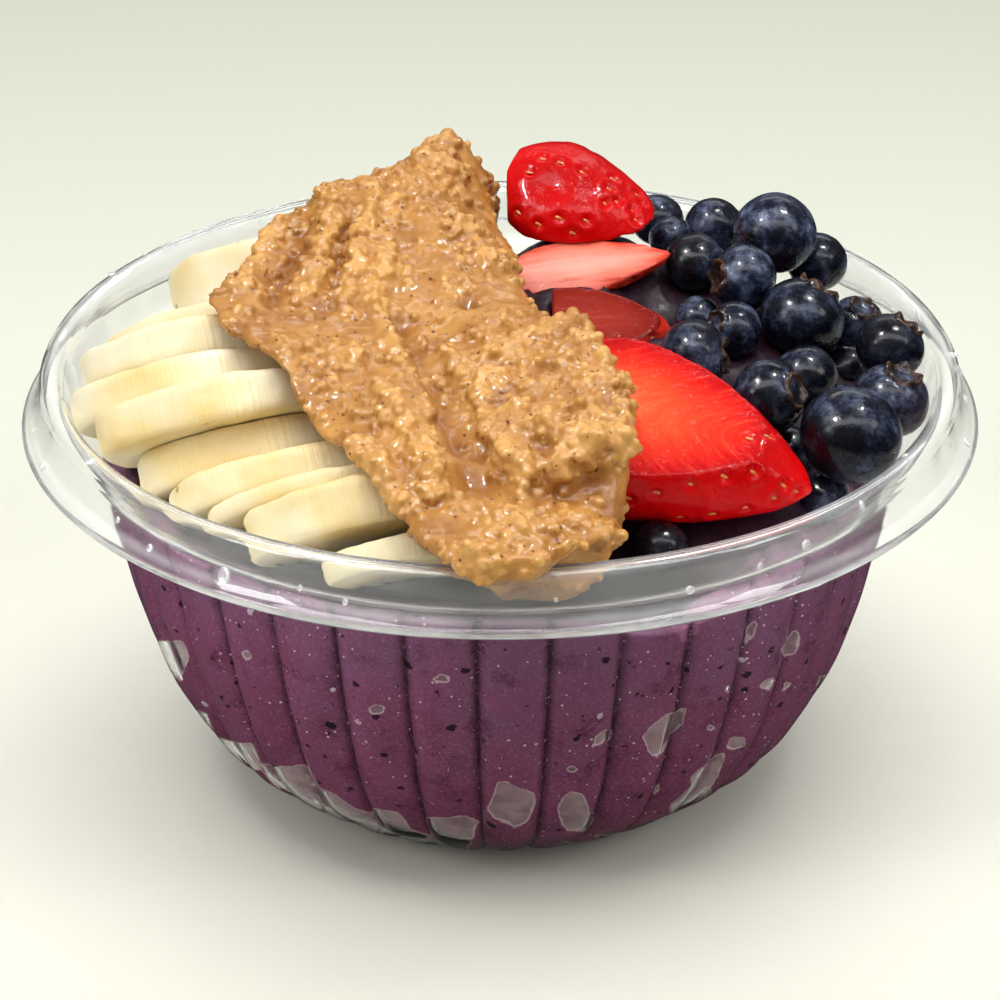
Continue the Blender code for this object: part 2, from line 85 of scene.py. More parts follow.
# The bowl's sheet: middle line of the fluted wall, then of the rim, as in the frame.
SHEET = 0.0008
FLUTES = 36
FLUTE_START = math.radians(-93.2)
FLUTED_LINE = (  # radius at the crests, height, depth of the grooves
    (0.0336, 0.0004, 0.0003),
    (0.0369, 0.0012, 0.0010),
    (0.0427, 0.0051, 0.0014),
    (0.0517, 0.0128, 0.0016),
    (0.0583, 0.0252, 0.0017),
    (0.0626, 0.0401, 0.0016),
    (0.0650, 0.0560, 0.0008),
)
RIM_LINE = (  # radius, height
    (0.0656, 0.0626),
    (0.0702, 0.0646),
    (0.0720, 0.0729),
    (0.0736, 0.0742),
    (0.0752, 0.0737),
    (0.0757, 0.0697),
    (0.0768, 0.0668),
    (0.0787, 0.0651),
)

ACAI_LEVEL = 0.0600
ACAI_DIP = 0.0045
ACAI_DIP_TURN = math.radians(-66.0)
ACAI_DIP_SPREAD = math.radians(12.0)
ACAI_MOUNDS = (  # x, y, height, spread
    (0.043, 0.010, 0.0135, 0.021),
    (0.014, 0.034, 0.0150, 0.014),
    (-0.004, 0.004, 0.0100, 0.026),
    (0.033, -0.036, 0.0060, 0.012),
    (0.0268, 0.0178, -0.0080, 0.0065),
)

SLICE_TURN = math.radians(21.8)
SLICE_LEAN = math.radians(49.3)
SLICE_EDGE = 0.0016  # how far the soft edge reaches
SLICES = (  # centre x, y, z, half length, half width, thickness
    (-0.0440, 0.0300, 0.0730, 0.0125, 0.0120, 0.0100),
    (-0.0485, 0.0133, 0.0715, 0.0180, 0.0135, 0.0049),
    (-0.0503, -0.0005, 0.0740, 0.0190, 0.0135, 0.0065),
    (-0.0498, -0.0113, 0.0726, 0.0200, 0.0135, 0.0062),
    (-0.0446, -0.0207, 0.0728, 0.0205, 0.0140, 0.0071),
    (-0.0393, -0.0205, 0.0649, 0.0200, 0.0135, 0.0069),
    (-0.0328, -0.0299, 0.0657, 0.0200, 0.0135, 0.0058),
    (-0.0268, -0.0373, 0.0672, 0.0190, 0.0135, 0.0033),
    (-0.0213, -0.0453, 0.0679, 0.0180, 0.0130, 0.0077),
    (-0.0160, -0.0565, 0.0665, 0.0110, 0.0080, 0.0040),
)

TAPER = (  # share of the length to the tip, share of the width
    (-0.40, 0.50),
    (-0.22, 0.85),
    (0.00, 1.00),
    (0.28, 0.91),
    (0.55, 0.70),
    (0.78, 0.45),
    (0.93, 0.22),
    (1.00, 0.02),
)
BACK_STRAWBERRY = 1  # has a hollow in its skin
FRONT_STRAWBERRY = 4  # the large one, whose fibres run out in a V
STRAWBERRIES = (  # centre, tip way, upright, (length, half width, half depth), cuts, blunt end
    (
        (0.0100, 0.0400, 0.0857),
        (0.90, -0.25, -0.32),
        (0.05, 0.30, -1.0),
        (0.0238, 0.0118, 0.0079),
        (((0.05, 0.30, -1.0), 0.0010),),
        0.0012,
    ),
    (
        (0.0100, 0.0232, 0.0797),
        (1.0, 0.15, 0.06),
        (-0.05, -0.75, 0.66),
        (0.0196, 0.0065, 0.0085),
        (
            ((-0.05, -0.75, 0.66), 0.0008),
            ((0.05, 0.75, -0.66), 0.0066),
            ((-0.05, -0.30, 1.0), -0.0003),
        ),
        0.0018,
    ),
    (
        (0.0110, 0.0085, 0.0755),
        (1.0, 0.05, -0.08),
        (0.0, -0.35, 0.95),
        (0.0180, 0.0085, 0.0070),
        (((0.0, -0.35, 0.95), 0.0010), ((0.0, 0.35, -0.95), 0.0042)),
        0.0088,
    ),
    (
        (0.0170, -0.0335, 0.0785),
        (0.90, -0.27, -0.22),
        (0.05, -0.30, 1.0),
        (0.0335, 0.0168, 0.0130),
        (((0.05, -0.30, 1.0), 0.0040), ((-0.05, 0.30, -1.0), 0.0120)),
        0.0140,
    ),
)

BERRY_FLATTEN = 0.93
LOOSE_WAY = (0.2, -0.3, 1.0)
CROWN_LINE = (  # radius and height of the crown and its hollow, as shares of the berry's radius
    (0.50, 0.90), (0.47, 1.00), (0.43, 1.03), (0.39, 1.00),
    (0.34, 0.90), (0.26, 0.82), (0.14, 0.80), (0.03, 0.81),
)
BERRIES = (  # centre x, y, z, radius, the way the crown points
    (0.0281, 0.0537, 0.0754, 0.0048, None),
    (0.0302, 0.0448, 0.0757, 0.0040, None),
    (0.0374, 0.0402, 0.0799, 0.0052, None),
    (0.0404, 0.0469, 0.0740, 0.0038, None),
    (0.0468, 0.0257, 0.0848, 0.0072, None),
    (0.0548, 0.0318, 0.0768, 0.0053, None),
    (0.0335, 0.0277, 0.0785, 0.0053, None),
    (0.0409, 0.0143, 0.0815, 0.0058, (-0.9, -0.3, 0.2)),
    (0.0501, 0.0053, 0.0781, 0.0072, (0.5, 0.3, 0.8)),
    (0.0600, 0.0125, 0.0740, 0.0048, (0.2, -0.4, 0.9)),
    (0.0635, -0.0070, 0.0787, 0.0057, (0.6, 0.2, 0.8)),
    (0.0626, -0.0196, 0.0752, 0.0062, (0.3, -0.1, 0.95)),
    (0.0549, -0.0327, 0.0757, 0.0081, None),
    (0.0583, 0.0043, 0.0695, 0.0044, None),
    (0.0501, -0.0066, 0.0734, 0.0052, None),
    (0.0426, -0.0240, 0.0780, 0.0061, (0.8, -0.4, 0.4)),
    (0.0312, -0.0132, 0.0800, 0.0060, (0.9, -0.1, 0.1)),
    (0.0385, 0.0011, 0.0780, 0.0048, (-0.8, -0.4, 0.5)),
    (0.0333, 0.0122, 0.0751, 0.0039, None),
    (0.0464, -0.0230, 0.0680, 0.0040, None),
    (0.0512, -0.0330, 0.0648, 0.0042, None),
    (0.0246, -0.0505, 0.0652, 0.0042, None),
)

# What the picture shows on the heap, as paths and spots across and down in it.
HEAP_RIDGES = (
    ((334, 175), (305, 198), (280, 232), (262, 260), (240, 290)),
    ((337, 205), (327, 240), (322, 271), (312, 300)),
    ((372, 190), (365, 230), (356, 265), (345, 300)),
    ((395, 205), (388, 240), (384, 275), (376, 305)),
    ((375, 312), (396, 340), (413, 381), (430, 405)),
    ((382, 388), (396, 405), (416, 446), (437, 473), (430, 497)),
    ((355, 449), (382, 466), (403, 508), (413, 542)),
    ((451, 360), (485, 388), (488, 429), (519, 463), (526, 508), (519, 532)),
    ((519, 463), (560, 463), (588, 446), (626, 442)),
)
HEAP_CHANNELS = (
    ((300, 225), (285, 265), (272, 300)),
    ((350, 200), (342, 250), (333, 290)),
    ((396, 326), (430, 394), (451, 429), (471, 484)),
    ((545, 490), (575, 495), (600, 480)),
)
HEAP_LUMPS = (
    (492, 360), (512, 357), (533, 340), (560, 326), (585, 340), (612, 360), (626, 381), (633, 405),
    (609, 381), (567, 367), (595, 405), (615, 429), (585, 439), (550, 425), (519, 412), (499, 381),
    (500, 528), (520, 540), (545, 530), (570, 525), (600, 545), (480, 568), (500, 580), (470, 560),
    (355, 357), (317, 357), (293, 391), (303, 429), (470, 235), (490, 265), (450, 170), (430, 160),
)
HEAP_PITS = ((488, 449), (564, 415), (540, 449), (520, 330), (470, 300))
HEAP_WET = ((350, 330), (396, 326), (430, 394), (451, 429), (471, 484), (500, 505))

SEEDS = {  # strawberry to the places of its seeds in the picture
    1: (
        (529, 171), (543, 157), (561, 161), (583, 171), (614, 178), (638, 194), (642, 202), (654, 205),
        (617, 201), (633, 210), (636, 219), (606, 203), (559, 218), (517, 213), (538, 225), (587, 221),
        (573, 234), (610, 188),
    ),
    4: (
        (628, 500), (657, 494), (691, 485), (725, 477), (746, 509), (713, 516), (680, 519), (644, 526),
        (754, 472), (775, 499), (785, 486), (797, 492), (750, 437), (769, 435),
    ),
}
STRAWBERRY_HOLLOW = (550, 185)
SPIRAL_SEEDS = 70
SPIRAL_TURN = 2.4
SEED_GAP = 0.0019  # least distance between two seeds
SEED_SIZE = (0.00042, 0.00028, 0.00078)
DROPS = (  # across, down, radius of the drops that the picture shows on the bowl
    (224, 575, 0.0012), (160, 668, 0.0008), (300, 588, 0.0005), (150, 548, 0.0007),
    (118, 520, 0.0006), (90, 462, 0.0007), (345, 602, 0.0005), (760, 566, 0.0006),
    (806, 545, 0.0008), (862, 505, 0.0007), (905, 455, 0.0006), (935, 398, 0.0007),
    (690, 590, 0.0008), (556, 600, 0.0004), (250, 612, 0.0006), (64, 400, 0.0006),
    (205, 704, 0.0006), (600, 716, 0.0005), (742, 660, 0.0006), (333, 690, 0.0004),
)
MORE_DROPS = 24
CRUMB_TRIES = 6500
CRUMB_SIZES = (0.0004, 0.0005, 0.0006, 0.0007, 0.0008, 0.0009, 0.0011)
PASTE_VOXEL = 0.0006
CRUMB_VOXEL = 0.00037
MOST_TRIANGLES = 195000  # of the heap

# Camera of the photograph's view.
CAMERA_PLACE = (0.0, -0.5164, 0.3171)
CAMERA_TILT = 0.482
CAMERA_LENS = 124.27
SENSOR = 36.0  # width in millimetres
PICTURE = 1000.0  # width and height of the picture
FOCAL = CAMERA_LENS / SENSOR * PICTURE


# Places in the 1000 x 1000 picture, for what is set on a piece where the picture shows it.


def way_through(across, down):
    """The camera's way through a place in the picture."""
    way = Vector(((across - PICTURE / 2) / FOCAL, (PICTURE / 2 - down) / FOCAL, -1.0))
    return (Matrix.Rotation(math.pi / 2 - CAMERA_TILT, 3, "X") @ way).normalized()


def seen_on(tree, across, down):
    """The place and the face's way that the camera meets at a place in the picture, or None."""
    hit, way = tree.ray_cast(Vector(CAMERA_PLACE), way_through(across, down))[:2]
    return (hit, way) if hit else None


def picture_places(points):
    """Where the camera sees each point: across and down in the picture."""
    turned = np.array(Matrix.Rotation(math.pi / 2 - CAMERA_TILT, 3, "X"))
    local = (np.asarray(points) - np.array(CAMERA_PLACE)) @ turned
    across = PICTURE / 2 - FOCAL * local[:, 0] / local[:, 2]
    down = PICTURE / 2 + FOCAL * local[:, 1] / local[:, 2]
    return np.stack([across, down], axis=1)


def inside_distance(places, corners):
    """How far each place lies inside a closed outline, below zero outside it."""
    corners = np.asarray(corners, dtype=float)
    away = np.full(len(places), np.inf)
    inside = np.zeros(len(places), dtype=bool)
    for start, end in zip(corners, np.roll(corners, -1, axis=0)):
        along = end - start
        share = np.clip((places - start) @ along / (along @ along), 0.0, 1.0)
        away = np.minimum(away, np.linalg.norm(places - start - share[:, None] * along, axis=1))
        crosses = (start[1] > places[:, 1]) != (end[1] > places[:, 1])
        reach = start[0] + (places[:, 1] - start[1]) * along[0] / (along[1] or 1e-9)
        inside ^= crosses & (places[:, 0] < reach)
    return np.where(inside, away, -away)


def along_distance(points, path):
    """Each point's distance to a bent line in space."""
    away = np.full(len(points), np.inf)
    for start, end in zip(path, path[1:]):
        along = end - start
        share = np.clip((points - start) @ along / (along @ along), 0.0, 1.0)
        away = np.minimum(away, np.linalg.norm(points - start - share[:, None] * along, axis=1))
    return away


# Short calls for selecting, shaping and settling a piece.


def only(*objects):
    """Selects just these objects and makes the first one active."""
    if bpy.context.mode != "OBJECT":
        bpy.ops.object.mode_set(mode="OBJECT")
    bpy.ops.object.select_all(action="DESELECT")
    for each in objects:
        each.select_set(True)
    bpy.context.view_layer.objects.active = objects[0]


def edit(piece):
    """Opens one piece in edit mode with all of it selected."""
    only(piece)
    bpy.ops.object.mode_set(mode="EDIT")
    bpy.ops.mesh.select_all(action="SELECT")


def leave():
    """Goes back to object mode."""
    bpy.ops.object.mode_set(mode="OBJECT")


def modify(piece, kind, **values):
    """Adds one modifier with its values and applies it."""
    made = piece.modifiers.new(kind.title(), kind)
    for name, value in values.items():
        setattr(made, name, value)
    only(piece)
    bpy.ops.object.modifier_apply(modifier=made.name)


def joined(pieces, name):
    """Makes one piece of several."""
    only(*pieces)
    if len(pieces) > 1:
        bpy.ops.object.join()
    made = bpy.context.object
    made.name = made.data.name = name
    return made


def settle(piece, matrix):
    """Puts a piece in its place by its mesh, with the object left at the origin."""
    piece.data.transform(matrix)
    piece.matrix_world = Matrix.Identity(4)
    piece.data.update()


def points_of(piece):
    """The piece's vertices as rows of x, y, z."""
    flat = np.empty(3 * len(piece.data.vertices))
    piece.data.vertices.foreach_get("co", flat)
    return flat.reshape(-1, 3)


def normals_of(piece):
    """The piece's vertex normals as rows."""
    flat = np.empty(3 * len(piece.data.vertices))
    piece.data.vertices.foreach_get("normal", flat)
    return flat.reshape(-1, 3)


def set_points(piece, points):
    """Moves the piece's vertices to these places."""
    piece.data.vertices.foreach_set("co", np.asarray(points, dtype=float).ravel())
    piece.data.update()


def set_value(piece, name, values):
    """Stores one number per vertex for the finish to read."""
    layer = piece.data.attributes.new(name, "FLOAT", "POINT")
    layer.data.foreach_set("value", np.asarray(values, dtype=float))


def finished(piece, finish):
    """The piece, smooth and with its finish."""
    only(piece)
    bpy.ops.object.shade_smooth()
    piece.data.materials.append(finish)
    return piece


def copied(pattern, matrix):
    """A copy of a small pattern piece, set in its place."""
    only(pattern)
    bpy.ops.object.duplicate()
    made = bpy.context.object
    settle(made, matrix)
    return made


def keep_inside(piece, margin=0.0):
    """Holds a piece's points inside the solid model's box."""
    low, high = np.array(CAD_BOX[0]) + margin, np.array(CAD_BOX[1]) - margin
    set_points(piece, np.clip(points_of(piece), low, high))


def reach_and_turn(points):
    """Each point's distance from the Z axis and its turn round it."""
    return np.hypot(points[:, 0], points[:, 1]), np.arctan2(points[:, 1], points[:, 0])


def noise_at(points, size, shift=0.0):
    """Smooth noise, about -1 to 1, at each point, with lumps of this size."""
    turned = np.asarray(points) / size + shift
    return np.array([noise.noise(Vector(point)) for point in turned])


def fine_noise_at(points, size, shift=0.0, octaves=4):
    """Noise with finer and finer detail at each point."""
    turned = np.asarray(points) / size + shift
    return np.array([noise.fractal(Vector(point), 1.0, 2.0, octaves) for point in turned])


def smoothstep(values, low, high):
    """0 below low, 1 above high, and a smooth rise between."""
    share = np.clip((np.asarray(values, dtype=float) - low) / (high - low), 0.0, 1.0)
    return share * share * (3.0 - 2.0 * share)


def drawn_out(name, line, sides, turned=0.0, closed=True):
    """A filled circle drawn out ring by ring along (radius, height), closed or open at the top."""
    bpy.ops.object.select_all(action="DESELECT")
    bpy.ops.mesh.primitive_circle_add(vertices=sides, radius=line[0][0], fill_type="TRIFAN")
    made = bpy.context.object
    made.name = made.data.name = name
    made.location = (0.0, 0.0, line[0][1])
    made.rotation_euler = (0.0, 0.0, turned)
    bpy.ops.object.transform_apply()
    edit(made)
    if not closed:
        bpy.ops.mesh.select_mode(type="EDGE")
        bpy.ops.mesh.select_all(action="SELECT")
        bpy.ops.mesh.region_to_loop()
    for before, after in zip(line, line[1:]):
        bpy.ops.mesh.extrude_region_move(
            TRANSFORM_OT_translate={"value": (0.0, 0.0, after[1] - before[1])}
        )
        share = after[0] / before[0]
        bpy.ops.transform.resize(value=(share, share, 1.0), center_override=(0.0, 0.0, after[1]))
    bpy.ops.mesh.select_mode(type="VERT")
    bpy.ops.mesh.select_all(action="SELECT")
    bpy.ops.mesh.normals_make_consistent(inside=False)
    leave()
    return made


def round_off(line, times, cut=0.25):
    """Cuts the corners of a line of points, keeping both ends."""
    rows = [np.array(point) for point in line]
    for _ in range(times):
        made = [rows[0]]
        for before, after in zip(rows, rows[1:]):
            made += [before * (1 - cut) + after * cut, before * cut + after * (1 - cut)]
        rows = [*made, rows[-1]]
    return rows


def resampled(line, step):
    """Points an even step apart along a line."""
    rows = np.array(line)
    lengths = np.r_[0.0, np.cumsum(np.linalg.norm(np.diff(rows[:, :2], axis=0), axis=1))]
    places = np.linspace(0.0, lengths[-1], max(2, round(lengths[-1] / step) + 1))
    return np.stack([np.interp(places, lengths, column) for column in rows.T], axis=1)


# Finishes.


class Finish:
    """A material being made: its shader, with short calls for the nodes that feed it."""

    def __init__(self, name, colour, roughness, **sockets):
        self.material = bpy.data.materials.new(name)
        self.material.use_nodes = True
        self.tree = self.material.node_tree
        self.shader = self.tree.nodes["Principled BSDF"]
        self.shader.inputs["Base Color"].default_value = (*colour, 1.0)
        self.shader.inputs["Roughness"].default_value = roughness
        for socket, value in sockets.items():
            self.shader.inputs[socket.replace("_", " ")].default_value = value
        self.material.diffuse_color = (*colour, 1.0)

    def node(self, kind, inputs=None, **values):
        """Adds a node, sets its values, and fills its inputs with numbers or other outputs."""
        made = self.tree.nodes.new(kind)
        for name, value in values.items():
            setattr(made, name, value)
        for name, value in (inputs or {}).items():
            if isinstance(value, bpy.types.NodeSocket):
                self.tree.links.new(value, made.inputs[name])
            else:
                made.inputs[name].default_value = value
        return made

    def place(self):
        """The place on the piece, in metres."""
        return self.node("ShaderNodeTexCoord").outputs["Object"]

    def stored(self, name):
        """A number stored on the piece's vertices."""
        return self.node("ShaderNodeAttribute", attribute_name=name).outputs["Fac"]

    def stretched(self, place, scale):
        """The place stretched by a scale along each axis."""
        return self.node("ShaderNodeMapping", {"Vector": place, "Scale": scale}).outputs[0]

    def grain(self, place, scale, detail=3.0, roughness=0.5):
        """Noise from 0 to 1."""
        values = {"Vector": place, "Scale": scale, "Detail": detail, "Roughness": roughness}
        return self.node("ShaderNodeTexNoise", values).outputs["Fac"]

    def cells(self, place, scale):
        """Distance to the nearest of many scattered points."""
        return self.node("ShaderNodeTexVoronoi", {"Vector": place, "Scale": scale}).outputs["Distance"]

    def range(self, value, low, high, bottom=0.0, top=1.0):
        """Maps a number from one range to another and keeps it inside."""
        values = {"Value": value, "From Min": low, "From Max": high, "To Min": bottom, "To Max": top}
        return self.node("ShaderNodeMapRange", values).outputs[0]

    def math(self, operation, first, second=0.0):
        """One sum on two numbers."""
        return self.node("ShaderNodeMath", {0: first, 1: second}, operation=operation).outputs[0]

    def mix(self, share, first, second):
        """Mixes two colours."""
        made = self.node("ShaderNodeMix", data_type="RGBA")
        factor, colour_a, colour_b = made.inputs[0], made.inputs[6], made.inputs[7]
        for socket, value in ((factor, share), (colour_a, first), (colour_b, second)):
            if isinstance(value, bpy.types.NodeSocket):
                self.tree.links.new(value, socket)
            elif isinstance(value, tuple):
                socket.default_value = (*value, 1.0)
            else:
                socket.default_value = value
        return made.outputs[2]

    def ramp(self, value, *stops):
        """A colour that changes with a number, by (place, colour) stops."""
        made = self.node("ShaderNodeValToRGB", {"Fac": value})
        elements = made.color_ramp.elements
        while len(elements) < len(stops):
            elements.new(1.0)
        for element, (place, colour) in zip(elements, stops):
            element.position = place
            element.color = (*colour, 1.0)
        return made.outputs["Color"]

    def bump(self, height, strength, distance):
        """A fine relief."""
        values = {"Height": height, "Strength": strength, "Distance": distance}
        return self.node("ShaderNodeBump", values).outputs["Normal"]

    def feed(self, **sockets):
        """Links outputs to the shader's inputs."""
        for socket, output in sockets.items():
            self.tree.links.new(output, self.shader.inputs[socket.replace("_", " ")])


def rgb(red, green, blue):
    """The linear colour of an 8-bit one."""
    parts = [value / 255.0 for value in (red, green, blue)]
    return tuple(p / 12.92 if p <= 0.04045 else ((p + 0.055) / 1.055) ** 2.4 for p in parts)


def let_light_through(finish):
    """Lets lamps shine through a clear finish, so that what is behind it stays bright."""
    path = finish.node("ShaderNodeLightPath")
    clear = finish.node("ShaderNodeBsdfTransparent", {"Color": (0.94, 0.95, 0.95, 1.0)})
    mixed = finish.node("ShaderNodeMixShader", {"Fac": path.outputs["Is Shadow Ray"]})
    finish.tree.links.new(finish.shader.outputs[0], mixed.inputs[1])
    finish.tree.links.new(clear.outputs[0], mixed.inputs[2])
    finish.tree.links.new(mixed.outputs[0], finish.tree.nodes["Material Output"].inputs["Surface"])


def plastic_finish(tint):
    """Clear formed plastic, with the slow waves of drawn sheet in its gloss."""
    made = Finish("clear plastic", tint, 0.03, Transmission_Weight=1.0, IOR=1.42)
    place = made.place()
    made.feed(Roughness=made.range(made.grain(place, 30.0, 3.0), 0.35, 0.7, 0.015, 0.07))
    streaks = made.grain(made.stretched(place, (1.0, 1.0, 6.0)), 70.0, 3.0, 0.6)
    # Where the stored whiteness takes light from the transmission, the sheet shows white: partly
    # milkiness, partly painted highlight lines and painted reflection streaks.
    haze = made.math("MULTIPLY", made.stored("haze"), made.range(streaks, 0.3, 0.7, 0.5, 1.5))
    made.feed(Transmission_Weight=made.math("SUBTRACT", 1.0, haze))
    waves = made.grain(made.stretched(place, (1.0, 1.0, 0.6)), 55.0, 1.0)
    made.feed(Normal=made.bump(waves, 0.6, 0.0012))
    let_light_through(made)
    return made.material


def acai_finish(colour):
    """Blended puree: mauve above, magenta below, with dark skin specks and pale sparkle, painted shade
    in the flute grooves and on the free surface, and painted reflection in the air pockets.
    """
    made = Finish("acai puree", colour, 0.45, Specular_IOR_Level=0.15)
    place = made.place()
    height = made.node("ShaderNodeSeparateXYZ", {"Vector": place}).outputs["Z"]
    mottle = made.grain(place, 55.0, 5.0, 0.65)
    level = made.math("ADD", made.range(height, 0.0, 0.06), made.range(mottle, 0.3, 0.7, -0.35, 0.35))
    colour = made.ramp(level, (0.0, rgb(120, 52, 84)), (0.55, colour), (1.0, rgb(122, 78, 108)))
    # Painted shade: the puree is darkened along the flute grooves, where shade gathers in the creases of
    # the wall.
    colour = made.mix(made.range(made.stored("groove"), 0.50, 1.15, 0.0, 0.88), colour, rgb(36, 10, 24))
    crystals = made.cells(place, 1400.0)
    colour = made.mix(made.range(crystals, 0.15, 0.45, 0.15, 0.0), colour, rgb(140, 84, 120))
    clouds = made.grain(place, 170.0, 4.0, 0.6)
    colour = made.mix(made.range(clouds, 0.50, 0.70, 0.0, 0.5), colour, rgb(136, 74, 108))
    colour = made.mix(made.range(clouds, 0.30, 0.46, 0.6, 0.0), colour, rgb(78, 26, 56))
    thick = made.range(made.grain(place, 1300.0, 3.0), 0.3, 0.7, 0.0, 0.34)
    grains = made.math("ADD", made.cells(place, 620.0), thick)
    colour = made.mix(made.range(grains, 0.20, 0.32, 0.8, 0.0), colour, rgb(42, 10, 26))
    fine = made.grain(place, 1900.0, 2.0)
    colour = made.mix(made.range(fine, 0.52, 0.74, 0.0, 0.5), colour, rgb(162, 112, 142))
    torn = made.range(made.grain(place, 500.0, 3.0), 0.3, 0.7, 0.0, 0.45)
    skins = made.math("ADD", made.cells(place, 250.0), torn)
    colour = made.mix(made.range(skins, 0.27, 0.33, 0.95, 0.0), colour, rgb(18, 6, 12))
    frost = made.range(made.grain(place, 160.0, 1.0), 0.4, 0.6, 0.08, 0.0)
    ice = made.math("ADD", made.cells(place, 620.0), frost)
    colour = made.mix(made.range(ice, 0.11, 0.16, 0.9, 0.0), colour, rgb(232, 206, 220))
    # Painted shade: the free surface between and under the fruit is painted near black where shade falls
    # among the toppings.
    colour = made.mix(made.range(made.stored("top"), 0.2, 0.8, 0.0, 0.94), colour, rgb(26, 8, 20))
    # Painted reflection: where air lies between the puree and the wall, the puree is painted pale
    # mauve-grey for the gloss of the air gap, with a painted whitish highlight along the pocket edges.
    pocket = made.stored("pocket")
    torn_edge = made.range(made.grain(place, 420.0, 2.0), 0.3, 0.7, -0.0002, 0.0002)
    ragged = made.math("ADD", pocket, torn_edge)
    pocket_reflection_streaks = made.range(made.grain(place, 330.0, 4.0), 0.35, 0.65)
    inner = made.mix(pocket_reflection_streaks, rgb(104, 70, 80), rgb(148, 116, 122))
    colour = made.mix(made.range(ragged, -0.00005, 0.00005, 0.0, 0.8), colour, inner)
    rim = made.math("ABSOLUTE", ragged)
    colour = made.mix(made.range(rim, 0.00006, 0.00016, 0.85, 0.0), colour, rgb(196, 172, 176))
    made.feed(Base_Color=colour)
    made.feed(Roughness=made.range(made.grain(place, 900.0, 2.0), 0.3, 0.7, 0.3, 0.6))
    return made.material


def water_finish():
    """Clear water, a little clouded by what it washed off."""
    made = Finish("water", (0.98, 0.99, 0.99), 0.02, Transmission_Weight=0.88, IOR=1.33)
    clouds = made.range(made.grain(made.place(), 300.0, 3.0), 0.35, 0.65, 0.01, 0.12)
    made.feed(Roughness=clouds)
    let_light_through(made)
    return made.material


def banana_finish(flesh):
    """Peeled banana: cream with yellow tints, long fibres and few brown specks."""
    made = Finish(
        "banana",
        flesh,
        0.42,
        Specular_IOR_Level=0.25,
        Subsurface_Weight=0.12,
        Subsurface_Radius=(0.004, 0.003, 0.0015),
    )
    place = made.place()
    band = made.node("ShaderNodeUVMap").outputs[0]
    tint = made.grain(place, 70.0, 3.0)
    colour = made.ramp(tint, (0.32, rgb(254, 246, 216)), (0.52, flesh), (0.72, rgb(246, 214, 132)))
    fibre = made.grain(made.stretched(band, (60.0, 1500.0, 1.0)), 1.0, 4.0, 0.65)
    colour = made.mix(made.range(fibre, 0.45, 0.68, 0.0, 0.45), colour, rgb(228, 192, 122))
    pale = made.grain(made.stretched(band, (110.0, 700.0, 1.0)), 1.0, 2.0)
    colour = made.mix(made.range(pale, 0.55, 0.75, 0.0, 0.5), colour, rgb(252, 246, 224))
    specks = made.math("ADD", made.cells(place, 180.0), made.grain(place, 60.0))
    colour = made.mix(made.range(specks, 0.42, 0.46, 0.6, 0.0), colour, rgb(110, 72, 30))
    made.feed(Base_Color=colour)
    relief = made.math("ADD", fibre, made.grain(place, 260.0, 4.0, 0.6))
    made.feed(Normal=made.bump(relief, 0.5, 0.0007))
    return made.material


def nut_finish(paste):
    """Wet crunchy nut butter: caramel paste, pale nut bits and dark flecks of skin."""
    made = Finish(
        "nut butter",
        paste,
        0.32,
        Coat_Weight=0.28,
        Coat_Roughness=0.05,
        Specular_IOR_Level=0.2,
        Subsurface_Weight=0.06,
        Subsurface_Radius=(0.003, 0.0015, 0.0007),
    )
    place = made.place()
    swirl = made.grain(place, 110.0, 6.0, 0.7)
    colour = made.ramp(swirl, (0.30, rgb(146, 92, 40)), (0.52, paste), (0.74, rgb(202, 150, 84)))
    lift = made.stored("lift")
    # Painted shade: the paste is darker in the pits and channels, where shade falls in the hollows.
    colour = made.mix(made.range(lift, -0.0014, -0.0001, 0.8, 0.0), colour, rgb(136, 80, 28))
    colour = made.mix(made.range(lift, 0.0004, 0.0020, 0.0, 0.45), colour, rgb(232, 178, 104))
    bits = made.range(made.stored("nut"), 0.15, 0.85, 0.0, 0.8)
    pale = made.ramp(made.grain(place, 420.0, 2.0), (0.3, rgb(208, 148, 66)), (0.72, rgb(242, 200, 124)))
    colour = made.mix(bits, colour, pale)
    broken = made.range(made.grain(place, 400.0, 3.0), 0.3, 0.7, 0.0, 0.4)
    flecks = made.range(made.math("ADD", made.cells(place, 700.0), broken), 0.24, 0.32, 0.85, 0.0)
    colour = made.mix(flecks, colour, rgb(80, 40, 16))
    rust = made.range(made.math("ADD", made.cells(place, 210.0), broken), 0.16, 0.26, 0.6, 0.0)
    colour = made.mix(rust, colour, rgb(124, 58, 24))
    made.feed(Base_Color=colour)
    made.feed(Roughness=made.range(made.grain(place, 160.0, 3.0), 0.35, 0.65, 0.16, 0.5))
    made.feed(Normal=made.bump(made.grain(place, 700.0, 5.0, 0.65), 0.35, 0.0006))
    return made.material


